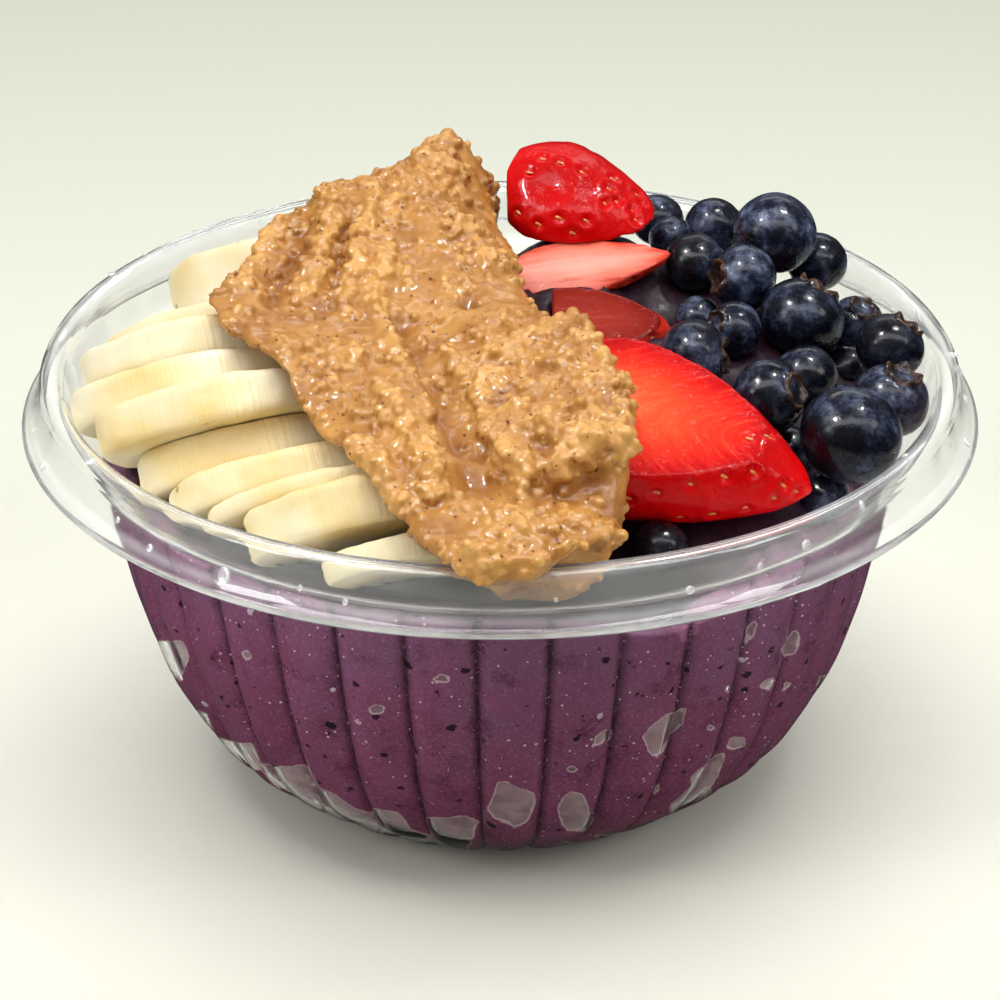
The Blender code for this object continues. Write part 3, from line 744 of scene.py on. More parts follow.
def strawberry_finish(name, skin_colours, face_colours, streaks):
    """Cut strawberry: glossy red skin, and a streaked face from red rim to pale core."""
    made = Finish(
        name,
        skin_colours[0],
        0.18,
        Coat_Weight=0.13,
        Coat_Roughness=0.03,
        Specular_IOR_Level=0.06,
        Subsurface_Weight=0.08,
        Subsurface_Radius=(0.003, 0.0006, 0.0004),
    )
    place = made.place()
    skin = made.ramp(made.grain(place, 90.0, 3.0), (0.32, skin_colours[0]), (0.68, skin_colours[1]))
    lanes = {"X": made.stored("lane"), "Y": made.stored("strand")}
    lane = made.node("ShaderNodeCombineXYZ", lanes).outputs[0]
    streak = made.grain(made.stretched(lane, (1150.0, 90.0, 1.0)), 1.0, 4.0, 0.6)
    depth = made.math("ADD", made.stored("rim"), made.range(streak, 0.3, 0.7, -streaks, streaks))
    depth = made.math("ADD", depth, made.range(made.grain(place, 120.0, 2.0), 0.3, 0.7, -0.0008, 0.0008))
    stops = zip((0.0, 0.18, 0.45, 0.75, 1.0), face_colours)
    face = made.ramp(made.range(depth, 0.0, 0.0125), *stops)
    pale = made.range(streak, 0.60, 0.78, 0.0, 300.0 * streaks)
    face = made.mix(pale, face, face_colours[-1])
    made.feed(Base_Color=made.mix(made.range(made.stored("face"), 0.35, 0.65), skin, face))
    made.feed(Normal=made.bump(made.grain(place, 380.0, 4.0, 0.6), 0.5, 0.0009))
    return made.material


RED_FACE = (  # from the rim of a cut to its core
    rgb(178, 6, 10), rgb(206, 22, 18), rgb(228, 52, 28), rgb(238, 82, 44), rgb(246, 124, 78),
)
PALE_FACE = (
    rgb(200, 58, 38), rgb(230, 122, 102), rgb(240, 158, 142), rgb(242, 174, 160), rgb(250, 214, 204),
)
PINK_FACE = (
    rgb(120, 20, 14), rgb(136, 34, 24), rgb(150, 46, 34), rgb(162, 60, 46), rgb(186, 92, 76),
)


def seed_finish():
    """Golden strawberry seeds."""
    made = Finish("strawberry seed", rgb(214, 150, 62), 0.3, Coat_Weight=0.4)
    place = made.place()
    colour = made.ramp(made.grain(place, 900.0), (0.3, rgb(160, 74, 18)), (0.7, rgb(222, 132, 44)))
    made.feed(Base_Color=colour)
    return made.material


def berry_finish(bloom_colour):
    """Blueberry: near-black skin under a mottled grey-blue bloom, brown where the crown is."""
    made = Finish(
        "blueberry",
        rgb(20, 22, 32),
        0.3,
        Coat_Weight=0.16,
        Coat_Roughness=0.06,
        Specular_IOR_Level=0.14,
    )
    place = made.place()
    patches = made.grain(place, 240.0, 6.0, 0.72)
    bloom = made.ramp(
        patches,
        (0.38, rgb(6, 7, 12)),
        (0.49, rgb(24, 29, 46)),
        (0.59, bloom_colour),
        (0.76, rgb(132, 142, 168)),
    )
    shade = made.grain(place, 62.0, 2.0)
    skin = made.mix(made.range(shade, 0.36, 0.52, 0.9, 0.0), bloom, rgb(7, 7, 12))
    blush = made.grain(place, 45.0, 1.0)
    skin = made.mix(made.range(blush, 0.60, 0.72, 0.0, 0.5), skin, rgb(44, 16, 24))
    crown = made.ramp(made.grain(place, 700.0, 3.0), (0.35, rgb(14, 10, 10)), (0.8, rgb(96, 66, 46)))
    made.feed(Base_Color=made.mix(made.stored("crown"), skin, crown))
    made.feed(Roughness=made.range(patches, 0.4, 0.7, 0.16, 0.5))
    made.feed(Normal=made.bump(made.grain(place, 600.0, 4.0, 0.6), 0.25, 0.0004))
    return made.material


# The clear bowl and the puree in it share one fluted wall.


def wall_line(step):
    """Middle line of the sheet from the base to the lip: radius, height, groove depth."""
    line = [(*point, 0.0)[:3] for point in FLUTED_LINE + RIM_LINE]
    return resampled(round_off(line, 3, 0.17), step)


def flute_shape(turns):
    """How deep the wall lies at each turn: 1 in the narrow grooves, 0 over the lobes."""
    phase = (turns - FLUTE_START) * FLUTES / math.tau
    away = np.abs(phase - np.round(phase))
    lobe = 1.0 - np.sqrt(1.0 - 0.8 * (1.0 - 2.0 * away) ** 2)
    return 0.80 * lobe / (1.0 - math.sqrt(0.2)) + 0.50 * np.exp(-((away / 0.07) ** 2))


def wall_sheet(name, line, sides):
    """The open sheet: a small disc on the base, drawn out ring by ring and then fluted."""
    made = drawn_out(name, line, sides, FLUTE_START, closed=False)
    points = points_of(made)
    reach, turns = reach_and_turn(points)
    away = (reach[:, None] - line[None, :, 0]) ** 2 + (points[:, 2, None] - line[None, :, 1]) ** 2
    depth = line[np.argmin(away, axis=1), 2] * flute_shape(turns)
    points[:, :2] *= (1.0 - depth / np.maximum(reach, 0.01))[:, None]
    points[:, 2] += 0.00001
    set_points(made, points)
    return made


CLEAR_HAZE = 0.028  # whiteness of the plain sheet above the puree, part milkiness and part painted sheen
CUT_EDGE_HAZE = 0.5  # whiteness of the lip's cut edge
RIM_HIGHLIGHTS = (  # radius, height, spread and share of the rim's whiter lines, painted highlights where the bead, crease and seat step catch the light
    (0.0734, 0.0742, 0.0010, 0.11),
    (0.0768, 0.0668, 0.0004, 0.16),
    (0.0702, 0.0646, 0.0005, 0.12),
)


def build_bowl(sheet, finish):
    """The clear bowl: base, fluted wall, seat, bead and flared skirt."""
    bowl = wall_sheet("clear_bowl", wall_line(0.00125), FLUTES * 14)
    modify(bowl, "SOLIDIFY", thickness=sheet, offset=0.0, use_even_offset=True)
    points = points_of(bowl)
    reach, height = reach_and_turn(points)[0], points[:, 2]
    # The whiteness is partly the sheet's own milkiness and cut edge, and partly painted highlight lines
    # along the bead, crease and seat step.
    haze = CLEAR_HAZE * smoothstep(height, 0.0615, 0.0630)
    for place_out, place_up, spread, share in RIM_HIGHLIGHTS:
        away = np.hypot(reach - place_out, height - place_up) / spread
        haze += share * np.exp(-(away**2))
    haze += CUT_EDGE_HAZE * smoothstep(reach, 0.0784, 0.0787)
    set_value(bowl, "haze", haze)
    return finished(bowl, finish)


POCKETS = (  # outlines, as the picture shows them, of the air between the puree and the wall
    ((493, 796), (498, 782), (508, 781), (520, 788), (533, 792), (533, 806), (524, 822), (514, 825),
     (496, 817), (489, 807)),
    ((571, 790), (582, 793), (586, 801), (588, 811), (594, 813), (592, 823), (578, 829), (566, 827),
     (559, 817), (559, 803), (565, 794)),
    ((642, 736), (649, 727), (665, 714), (686, 708), (682, 723), (665, 737), (660, 751), (653, 756),
     (649, 752)),
    ((724, 751), (719, 769), (707, 790), (697, 805), (685, 810), (669, 809), (670, 802), (677, 797),
     (689, 785), (691, 774), (702, 765), (715, 756)),
    ((596, 831), (617, 834), (639, 827), (647, 823), (639, 835), (623, 841), (607, 842)),
    ((551, 844), (565, 839), (574, 839), (582, 846), (572, 850), (557, 851)),
    ((730, 735), (742, 737), (742, 744), (726, 749)),
    ((590, 748), (596, 736), (604, 729), (612, 729), (611, 735), (602, 741)),
    ((736, 654), (744, 642), (747, 626), (755, 620), (757, 625), (752, 637), (744, 644), (740, 654)),
    ((779, 649), (784, 640), (794, 630), (799, 632), (798, 642), (792, 652), (783, 656)),
    ((758, 686), (765, 679), (771, 677), (771, 682), (765, 689)),
    ((781, 690), (784, 682), (789, 681), (787, 687)),
    ((814, 687), (818, 675), (834, 671), (831, 685), (824, 698), (820, 699)),
    ((652, 792), (656, 785), (661, 783), (660, 789)),
    ((568, 768), (572, 765), (576, 768), (572, 771)),
    ((705, 726), (709, 723), (713, 726), (709, 730)),
    ((723, 687), (726, 684), (730, 687), (726, 691)),
    ((157, 640), (183, 640), (190, 655), (183, 680), (172, 668), (163, 655)),
    ((191, 705), (209, 712), (217, 732), (207, 727), (197, 716)),
    ((219, 734), (232, 740), (252, 742), (261, 760), (260, 767), (247, 769), (235, 762), (225, 750)),
    ((261, 762), (275, 765), (302, 765), (310, 780), (322, 805), (325, 814), (305, 807), (285, 792),
     (270, 777)),
    ((305, 764), (312, 770), (317, 785), (340, 795), (355, 807), (371, 812), (379, 825), (375, 832),
     (355, 831), (335, 820), (322, 802), (310, 780)),
    ((372, 806), (400, 811), (410, 827), (425, 832), (437, 837), (441, 845), (415, 846), (395, 842),
     (382, 830)),
    ((429, 816), (450, 816), (465, 814), (478, 820), (472, 835), (465, 851), (450, 851), (440, 842),
     (431, 827)),
    ((370, 707), (377, 704), (386, 706), (382, 712), (372, 713)),
    ((355, 720), (362, 718), (365, 720), (360, 723)),
    ((362, 740), (369, 739), (367, 745), (364, 745)),
    ((433, 679), (441, 674), (450, 677), (447, 682), (437, 682)),
    ((244, 652), (249, 649), (253, 655), (249, 659)),
)
PICTURE_PER_METRE = 6030.0  # at the front of the wall
POCKET_DEPTH = 0.00055
ACAI_EDGE = ACAI_LEVEL + 0.0006  # where the wall of the puree ends, before its edge is drawn down
ACAI_DRAWN_FROM = 0.040  # above this height the wall's rings follow the level
SURFACE_STEP = 0.0016  # between points of the free surface
SURFACE_REACH = 0.0625
UNDER_TOPPING = 0.0005  # how far the surface stays below a topping


def pocket_distance(points, normals):
    """How far each point of the wall lies inside an air pocket, in metres, below zero outside."""
    places = picture_places(points)
    best = np.full(len(points), -0.01)
    towards = np.einsum("ij,ij->i", np.array(CAMERA_PLACE) - points, normals) > 0.0
    for corners in POCKETS:
        low, high = np.min(corners, axis=0) - 12.0, np.max(corners, axis=0) + 12.0
        near = towards & np.all((places > low) & (places < high), axis=1)
        best[near] = np.maximum(best[near], inside_distance(places[near], corners) / PICTURE_PER_METRE)
    hidden = ~towards & (points[:, 2] < 0.016)
    fade = smoothstep(points[hidden, 2], 0.008, 0.016)
    wild = 0.004 * fine_noise_at(points[hidden], 0.011, 4.0) - 0.0008 - 0.004 * fade
    best[hidden] = np.maximum(best[hidden], wild)
    return best


def acai_level(turns):
    """Height of the puree at the wall, lower where it has drawn away at the front."""
    away = np.remainder(turns - ACAI_DIP_TURN + math.pi, math.tau) - math.pi
    return ACAI_LEVEL - ACAI_DIP * np.exp(-((away / ACAI_DIP_SPREAD) ** 2))


def acai_height(x, y):
    """Height of the puree's free surface."""
    height = float(acai_level(math.atan2(y, x)))
    for centre_x, centre_y, rise, spread in ACAI_MOUNDS:
        away = math.hypot(x - centre_x, y - centre_y) / spread
        height += rise * math.exp(-0.5 * away * away)
    return height


def tree_of(pieces):
    """Search tree of the pieces' faces."""
    verts, faces = [], []
    for each in pieces:
        start = len(verts)
        verts.extend(vert.co.copy() for vert in each.data.vertices)
        faces.extend([start + k for k in face.vertices] for face in each.data.polygons)
    return BVHTree.FromPolygons(verts, faces)


def build_acai(toppings, finish):
    """The puree: it follows the wall, a hair inside its sheet, and lies under the toppings."""
    line = wall_line(0.0007)
    line = line[line[:, 1] < ACAI_EDGE]
    body = wall_sheet("acai_puree", line, FLUTES * 16)
    edit(body)
    bpy.ops.transform.shrink_fatten(value=-(SHEET / 2 - 0.00015))
    leave()
    points = points_of(body)
    level = acai_level(reach_and_turn(points)[1])
    drawn = points[:, 2] > ACAI_DRAWN_FROM
    share = (points[:, 2] - ACAI_DRAWN_FROM) / (ACAI_EDGE - ACAI_DRAWN_FROM)
    points[drawn, 2] = (ACAI_DRAWN_FROM + share * (level - ACAI_DRAWN_FROM))[drawn]
    set_points(body, points)
    bm = bmesh.new()
    bm.from_mesh(body.data)
    ring = {vert for edge in bm.edges if edge.is_boundary for vert in edge.verts}
    ring = sorted(ring, key=lambda vert: math.atan2(vert.co.y, vert.co.x))
    tree = tree_of(toppings)
    rows = int(0.066 / SURFACE_STEP) + 2
    flat = [Vector((vert.co.x, vert.co.y)) for vert in ring]
    inner = []
    for row in range(-rows, rows + 1):
        for column in range(-rows, rows + 1):
            x = (column + 0.5 * (row % 2)) * SURFACE_STEP
            y = row * SURFACE_STEP * math.sqrt(0.75)
            if math.hypot(x, y) < SURFACE_REACH:
                inner.append((x, y))
    count = len(ring)
    flat += [Vector(point) for point in inner]
    faces = geometry.delaunay_2d_cdt(flat, [(k, (k + 1) % count) for k in range(count)], [], 1, 1e-7)[2]
    verts = list(ring)
    for x, y in inner:
        height = acai_height(x, y) + 0.0006 * noise.noise(Vector((x, y, 0.0)) / 0.004)
        hit = tree.ray_cast(Vector((x, y, 0.030)), Vector((0.0, 0.0, 1.0)))[0]
        if hit and hit.z < height + UNDER_TOPPING:
            height = hit.z - UNDER_TOPPING
        verts.append(bm.verts.new((x, y, height)))
    for face in faces:
        bm.faces.new([verts[k] for k in face])
    bmesh.ops.recalc_face_normals(bm, faces=bm.faces)
    bm.to_mesh(body.data)
    bm.free()
    points, normals = points_of(body), normals_of(body)
    pocket = np.full(len(points), -0.01)
    wall = reach_and_turn(points)[0] > 0.030
    pocket[wall] = pocket_distance(points[wall], normals[wall])
    points -= normals * (POCKET_DEPTH * smoothstep(pocket, -0.0002, 0.0006))[:, None]
    set_points(body, points)
    reach, turns = reach_and_turn(points)
    set_value(body, "pocket", pocket)
    # The groove depth is stored for the finish's painted shade along the flute grooves.
    set_value(body, "groove", np.where(wall, flute_shape(turns), 0.0))
    # Marks the free surface under the fruit for the finish's painted shade.
    set_value(body, "top", (points[:, 2] > 0.050) * (1.0 - smoothstep(reach, 0.0615, 0.0630)))
    return finished(body, finish)


# Fruit.


def build_slice(number, centre, half_length, half_width, thickness, finish):
    """One banana slice: an oval disc with an uneven outline, soft edges and long fibres."""
    edge = min(SLICE_EDGE, 0.4 * thickness)
    half = 0.5 * thickness
    flat = (0.0006, 0.2, 0.4, 0.6, 0.75, 0.86)
    quarter = [math.pi / 2 * k / 4 for k in range(5)]
    line = [(share, -half) for share in flat]
    line += [(0.93 + 0.07 * math.sin(turn), -half + edge * (1 - math.cos(turn))) for turn in quarter]
    line += [(1.0, -half + edge + (thickness - 2 * edge) * k / 6) for k in range(1, 6)]
    line += [(0.93 + 0.07 * math.cos(turn), half - edge * (1 - math.sin(turn))) for turn in quarter]
    line += [(share, half) for share in reversed(flat)]
    made = drawn_out(f"cut_banana_{number}", line, 96)
    points = points_of(made)
    reach, turns = reach_and_turn(points)
    uneven = 1.0 + 0.025 * np.cos(5.0 * turns + number) + 0.012 * np.cos(3.0 * turns + 2.0 * number)
    points[:, 0] *= half_length * uneven
    points[:, 1] *= half_width * uneven
    layer = made.data.uv_layers.new(name="band")
    corner = np.empty(len(made.data.loops), dtype=int)
    made.data.loops.foreach_get("vertex_index", corner)
    around = turns * 0.5 * (half_length + half_width) * np.minimum(reach, 1.0)
    inward = points[corner, 2] + (1.0 - reach[corner]) * half_width
    uv = np.stack([around[corner] + number, inward], axis=1)
    layer.data.foreach_set("uv", uv.ravel())
    lumps = 0.00035 * noise_at(points + 0.1 * number, 0.006) + 0.00018 * noise_at(points, 0.0022, 5.0)
    set_points(made, points)
    points += normals_of(made) * lumps[:, None]
    set_points(made, points)
    lean = Matrix.Rotation(SLICE_LEAN, 4, "X")
    turn = Matrix.Rotation(SLICE_TURN, 4, "Z")
    settle(made, Matrix.Translation(centre) @ turn @ lean @ Matrix.Rotation(math.pi / 2, 4, "X"))
    return finished(made, finish)


def strawberry_matrix(centre, tip_way, upright):
    """World matrix with X to the tip, and Z as near to the upright way as X allows."""
    along = Vector(tip_way).normalized()
    across = Vector(upright).cross(along).normalized()
    turned = Matrix((along, across, along.cross(across))).transposed().to_4x4()
    return Matrix.Translation(centre) @ turned


def taper_width(along):
    """The share of the full width at each share of the length."""
    return np.interp(along, *np.array(TAPER).T)


def seed_places(number, tree, matrix, size, planes):
    """Where this strawberry's seeds lie: as the picture shows them, then a spiral on the rest."""
    length, half_width, half_depth = size
    sites = [seen_on(tree, *place) for place in SEEDS.get(number, ())]
    sites = [site for site in sites if site]
    turned = matrix.to_3x3()
    for k in range(SPIRAL_SEEDS):
        share = (k + 0.5) / SPIRAL_SEEDS
        along = -0.25 + 1.15 * share
        wide = float(taper_width(along))
        across, up = math.cos(SPIRAL_TURN * k), math.sin(SPIRAL_TURN * k)
        way = turned @ Vector((0.0, across, up))
        spot = matrix @ Vector((along * length, across * half_width * wide, up * half_depth * wide))
        if min((point - spot).dot(away) for point, away in planes) < 0.0012:
            continue
        hit, normal = tree.ray_cast(spot + way * 0.004, -way)[:2]
        if hit is None or (hit - spot).length > 0.002:
            continue
        towards = (Vector(CAMERA_PLACE) - hit).dot(normal) > 0.0
        near = min([(hit - each).length for each, _ in sites] or [1.0])
        if near > SEED_GAP and not (towards and number in SEEDS):
            sites.append((hit, normal))
    return sites


def build_strawberry(number, centre, tip_way, upright, size, cuts, blunt_end, finish):
    """A cut strawberry: a tapering body, bisected, with soft edges, and a dimple for each seed."""
    length, half_width, half_depth = size
    line = resampled(round_off([(wide, along) for along, wide in TAPER], 2), 0.03)
    made = drawn_out(f"cut_strawberry_{number}", [tuple(point) for point in line], 64)
    points = points_of(made)
    set_points(made, points[:, [2, 0, 1]] * size)
    matrix = strawberry_matrix(centre, tip_way, upright)
    settle(made, matrix)
    ways = [(Vector(way).normalized(), away) for way, away in cuts]
    planes = [(Vector(centre) + way * away, way) for way, away in ways]
    planes.append((Vector((blunt_end, 0.0, 0.0)), Vector((-1.0, 0.0, 0.0))))
    edit(made)
    for point, way in planes:
        bpy.ops.mesh.select_all(action="SELECT")
        bpy.ops.mesh.bisect(plane_co=point, plane_no=way, use_fill=True, clear_outer=True)
    bpy.ops.mesh.select_all(action="SELECT")
    bpy.ops.mesh.normals_make_consistent(inside=False)
    leave()
    front = number == FRONT_STRAWBERRY
    modify(made, "REMESH", mode="VOXEL", voxel_size=0.00036 if front else 0.0003)
    modify(made, "SMOOTH", factor=0.5, iterations=5 if front else 14)
    points = points_of(made)
    inside = np.stack([(np.array(point) - points) @ np.array(way) for point, way in planes], axis=1)
    face = 1.0 - smoothstep(inside[:, :-1].min(axis=1), 0.0002, 0.0007)
    back = np.array(matrix.inverted())
    local = points @ back[:3, :3].T + back[:3, 3]
    wide = taper_width(local[:, 0] / length)
    out = np.hypot(local[:, 1] / half_width, local[:, 2] / half_depth) / np.maximum(wide, 0.02)
    rim = np.clip(1.0 - out, 0.0, 1.0) * wide * half_width
    slope = math.radians(38.0 if front else 0.0)
    side = np.hypot(local[:, 1], 0.0025) if front else local[:, 1]
    strand = local[:, 0] * math.cos(slope) + side * math.sin(slope)
    lane = side * math.cos(slope) - local[:, 0] * math.sin(slope)
    sites = seed_places(number, tree_of([made]), matrix, size, planes)
    move = 0.00022 * noise_at(points, 0.004, number)
    for spot, _ in sites:
        away = np.linalg.norm(points - np.array(spot), axis=1)
        dimple = 0.00050 * np.exp(-((away / 0.00085) ** 2))
        swelling = 0.00012 * np.exp(-(((away - 0.0016) / 0.0006) ** 2))
        move -= dimple - swelling
    if number == BACK_STRAWBERRY:
        hollow = seen_on(tree_of([made]), *STRAWBERRY_HOLLOW)
        away = np.linalg.norm(points - np.array(hollow[0]), axis=1)
        move -= 0.0014 * np.exp(-((away / 0.0032) ** 2))
    move += face * 0.00010 * noise_at(np.stack([lane * 3.0, strand * 0.4, lane * 0.0], axis=1), 0.0022)
    points += normals_of(made) * move[:, None]
    set_points(made, points)
    for name, values in (("face", face), ("rim", rim), ("lane", lane), ("strand", strand)):
        set_value(made, name, values)
    return finished(made, finish), sites


def build_seeds(groups):
    """All the seeds of the cut strawberries: small teardrops, each in its dimple."""
    bpy.ops.object.select_all(action="DESELECT")
    bpy.ops.mesh.primitive_uv_sphere_add(segments=8, ring_count=6, radius=1.0)
    pattern = bpy.context.object
    shape = points_of(pattern)
    shape[:, :2] *= (0.72 - 0.28 * shape[:, 2])[:, None]
    shape *= SEED_SIZE
    set_points(pattern, shape)
    seeds = []
    for tip_way, sites in groups:
        tip = Vector(tip_way).normalized()
        for spot, normal in sites:
            along = (tip - normal * normal.dot(tip)).normalized()
            turned = Matrix((normal.cross(along), normal, along)).transposed().to_4x4()
            seeds.append(copied(pattern, Matrix.Translation(spot - normal * SEED_SIZE[0]) @ turned))
    bpy.data.objects.remove(pattern)
    return finished(joined(seeds, "strawberry_seeds"), seed_finish())


def build_berry(number, centre, radius, crown, finish):
    """One blueberry, with a ragged five-pointed crown round a hollow where it shows."""
    turns = [math.pi * (k + 0.35) / 24.8 for k in range(21 if crown else 25)]
    line = [(math.sin(turn), -math.cos(turn)) for turn in turns]
    line += CROWN_LINE if crown else ()
    made = drawn_out(f"loose_blueberry_{number}", [(r * radius, z * radius) for r, z in line], 40)
    points = points_of(made)
    reach, turns = reach_and_turn(points)
    reach, height = reach / radius, points[:, 2] / radius
    mask = np.zeros(len(points))
    if crown:
        mask = smoothstep(height, 0.86, 0.92) * smoothstep(reach, 0.30, 0.36)
        mask *= 1.0 - smoothstep(reach, 0.49, 0.56)
        ragged = 0.5 + 0.5 * np.cos(5.0 * turns + number) + 0.3 * noise_at(points, 0.0012, number)
        points[:, 2] -= mask * (1.0 - ragged) * 0.13 * radius
        points[:, :2] *= (1.0 + mask * 0.10 * ragged)[:, None]
    points[:, 2] *= BERRY_FLATTEN
    points += (points / radius) * (0.03 * radius * noise_at(points, 0.9 * radius, 3.0 * number))[:, None]
    points += (points / radius) * (0.00006 * noise_at(points, 0.0012, number))[:, None]
    set_points(made, points)
    set_value(made, "crown", mask)
    turned = Vector(crown or LOOSE_WAY).to_track_quat("Z", "Y").to_matrix().to_4x4()
    settle(made, Matrix.Translation(centre) @ turned)
    return finished(made, finish)


# Drops of water on the rim.


def build_drops(bowl):
    """Flat drops on the clear bowl: where the picture shows them, then more round the rim."""
    picker = random.Random(11)
    tree = tree_of([bowl])
    sites = [(seen_on(tree, across, down), wide) for across, down, wide in DROPS]
    for _ in range(MORE_DROPS):
        turn, reach = picker.uniform(-0.4, 3.5), picker.uniform(0.0745, 0.0775)
        spot = Vector((reach * math.cos(turn), reach * math.sin(turn), 0.10))
        hit, way = tree.ray_cast(spot, Vector((0.0, 0.0, -1.0)))[:2]
        sites.append(((hit, way) if hit else None, picker.uniform(0.0004, 0.0010)))
    bpy.ops.object.select_all(action="DESELECT")
    bpy.ops.mesh.primitive_uv_sphere_add(segments=12, ring_count=8, radius=1.0)
    pattern = bpy.context.object
    drops = []
    for site, wide in sites:
        if not site:
            continue
        turned = site[1].to_track_quat("Z", "Y").to_matrix().to_4x4()
        uneven = (wide * picker.uniform(0.8, 1.2), wide * picker.uniform(0.8, 1.2), wide * 0.4)
        place = Matrix.Translation(site[0]) @ turned @ Matrix.Diagonal((*uneven, 1.0))
        drops.append(copied(pattern, place))
    bpy.data.objects.remove(pattern)
    made = joined(drops, "water_drops")
    keep_inside(made)
    return finished(made, water_finish())


# The nut butter.


def merged_copy(node, name):
    """A copy of a node of the frame, with its loose triangles merged into one closed mesh."""
    made = bpy.data.objects.new(name, frame["nodes"][node].data.copy())
    bpy.context.scene.collection.objects.link(made)
    made.data.materials.clear()
    edit(made)
    bpy.ops.mesh.remove_doubles(threshold=0.00001)
    leave()
    return made


def met_on(tree, places):
    """The places on a surface that the camera meets at these places in the picture."""
    met = [seen_on(tree, *place) for place in places]
    return np.array([site[0] for site in met if site])


def sculpt_heap(heap):
    """Pushes the strokes, lumps and pits into the heap, and gives how crumbly each point is."""
    tree = tree_of([heap])
    points, normals = points_of(heap), normals_of(heap)
    wander = 1.0 + 0.35 * noise_at(points, 0.004, 2.0)
    lift = 0.0008 * noise_at(points, 0.0042) + 0.0003 * noise_at(points, 0.0016, 9.0)
    crumbly = 0.15 + 0.30 * noise_at(points, 0.008, 5.0)
    for path in HEAP_RIDGES:
        away = along_distance(points, met_on(tree, path)) * wander
        lift += 0.0017 * np.exp(-((away / 0.0017) ** 2))
        crumbly += 0.75 * np.exp(-((away / 0.0022) ** 2))
    for path in HEAP_CHANNELS:
        away = along_distance(points, met_on(tree, path)) * wander
        lift -= 0.0014 * np.exp(-((away / 0.0020) ** 2))
    for spot in met_on(tree, HEAP_LUMPS):
        away = np.linalg.norm(points - spot, axis=1) * wander
        lift += 0.0016 * np.exp(-((away / 0.0021) ** 2))
        crumbly += 0.7 * np.exp(-((away / 0.0036) ** 2))
    for spot in met_on(tree, HEAP_PITS):
        away = np.linalg.norm(points - spot, axis=1) * wander
        lift -= 0.0022 * np.exp(-((away / 0.0020) ** 2))
    wet = along_distance(points, met_on(tree, HEAP_WET))
    crumbly *= 1.0 - 0.9 * np.exp(-((wet / 0.0042) ** 2))
    set_points(heap, points + normals * lift[:, None])
    keep_inside(heap, SHEET)
    return crumbly, lift


def scatter_crumbs(heap, crumbly):
    """Bits of nut set over the heap, thicker where it is crumbly: one piece, centres and sizes."""
    picker = random.Random(7)
    faces = [face for face in heap.data.polygons if face.normal.z > -0.30]
    bpy.ops.object.select_all(action="DESELECT")
    bpy.ops.mesh.primitive_ico_sphere_add(subdivisions=2, radius=1.0)
    pattern = bpy.context.object
    grain_points = points_of(pattern)
    grain_faces = np.array([list(face.vertices) for face in pattern.data.polygons])
    bpy.data.objects.remove(pattern)
    all_points, all_faces, centres, sizes = [], [], [], []
    for _ in range(CRUMB_TRIES):
        face = picker.choice(faces)
        if picker.random() > 0.04 + crumbly[face.vertices[0]]:
            continue
        place = Vector(face.center)
        radius = picker.choice(CRUMB_SIZES)
        stretch = Vector([picker.uniform(0.75, 1.25) for _ in range(3)]) * radius
        axis = Vector([picker.uniform(-1, 1) for _ in range(3)]).normalized()
        turned = Matrix.Rotation(picker.uniform(0, math.tau), 3, axis)
        shape = np.array(turned @ Matrix.Diagonal(stretch))
        centre = place + face.normal * radius * picker.uniform(-0.15, 0.45)
        all_points.append(grain_points @ shape.T + np.array(centre))
        all_faces.append(grain_faces + len(centres) * len(grain_points))
        centres.append(centre)
        sizes.append(radius)
    mesh = bpy.data.meshes.new("crumbs")
    mesh.from_pydata(np.concatenate(all_points).tolist(), [], np.concatenate(all_faces).tolist())
    crumbs = bpy.data.objects.new("crumbs", mesh)
    bpy.context.scene.collection.objects.link(crumbs)
    return crumbs, centres, sizes


def nearest_of(places):
    """Search tree of places."""
    tree = KDTree(len(places))
    for index, place in enumerate(places):
        tree.insert(place, index)
    tree.balance()
    return tree


def build_heap(finish):
    """The heap: the frame's form rounded and sculpted, with crumbs of nut made one with it."""
    heap = merged_copy("nut_butter", "nut_butter_heap")
    modify(heap, "SUBSURF", levels=2, render_levels=2)
    modify(heap, "REMESH", mode="VOXEL", voxel_size=PASTE_VOXEL)
    modify(heap, "SMOOTH", factor=0.5, iterations=3)
    crumbly, lift = sculpt_heap(heap)
    paste = nearest_of(points_of(heap))
    crumbs, centres, sizes = scatter_crumbs(heap, crumbly)
    heap = joined([heap, crumbs], "nut_butter_heap")
    modify(heap, "REMESH", mode="VOXEL", voxel_size=CRUMB_VOXEL)
    modify(heap, "SMOOTH", factor=0.5, iterations=1)
    count = sum(len(face.vertices) - 2 for face in heap.data.polygons)
    if count > MOST_TRIANGLES:
        modify(heap, "DECIMATE", ratio=MOST_TRIANGLES / count)
    bm = bmesh.new()
    bm.from_mesh(heap.data)
    bmesh.ops.dissolve_verts(bm, verts=[vert for vert in bm.verts if len(vert.link_edges) == 2])
    bm.to_mesh(heap.data)
    bm.free()
    keep_inside(heap, 0.0001)
    tree = nearest_of(centres)
    nut = []
    for point in points_of(heap):
        _, index, away = tree.find(point)
        pale = 1.0 if index % 3 else 0.35
        nut.append(max(0.0, 1.35 - away / sizes[index]) * pale)
    set_value(heap, "nut", nut)
    # The sculpted lift is stored for the finish, which paints shade into the low places.
    set_value(heap, "lift", [lift[paste.find(point)[1]] for point in points_of(heap)])
    return finished(heap, finish)


# Stage, lights and camera.


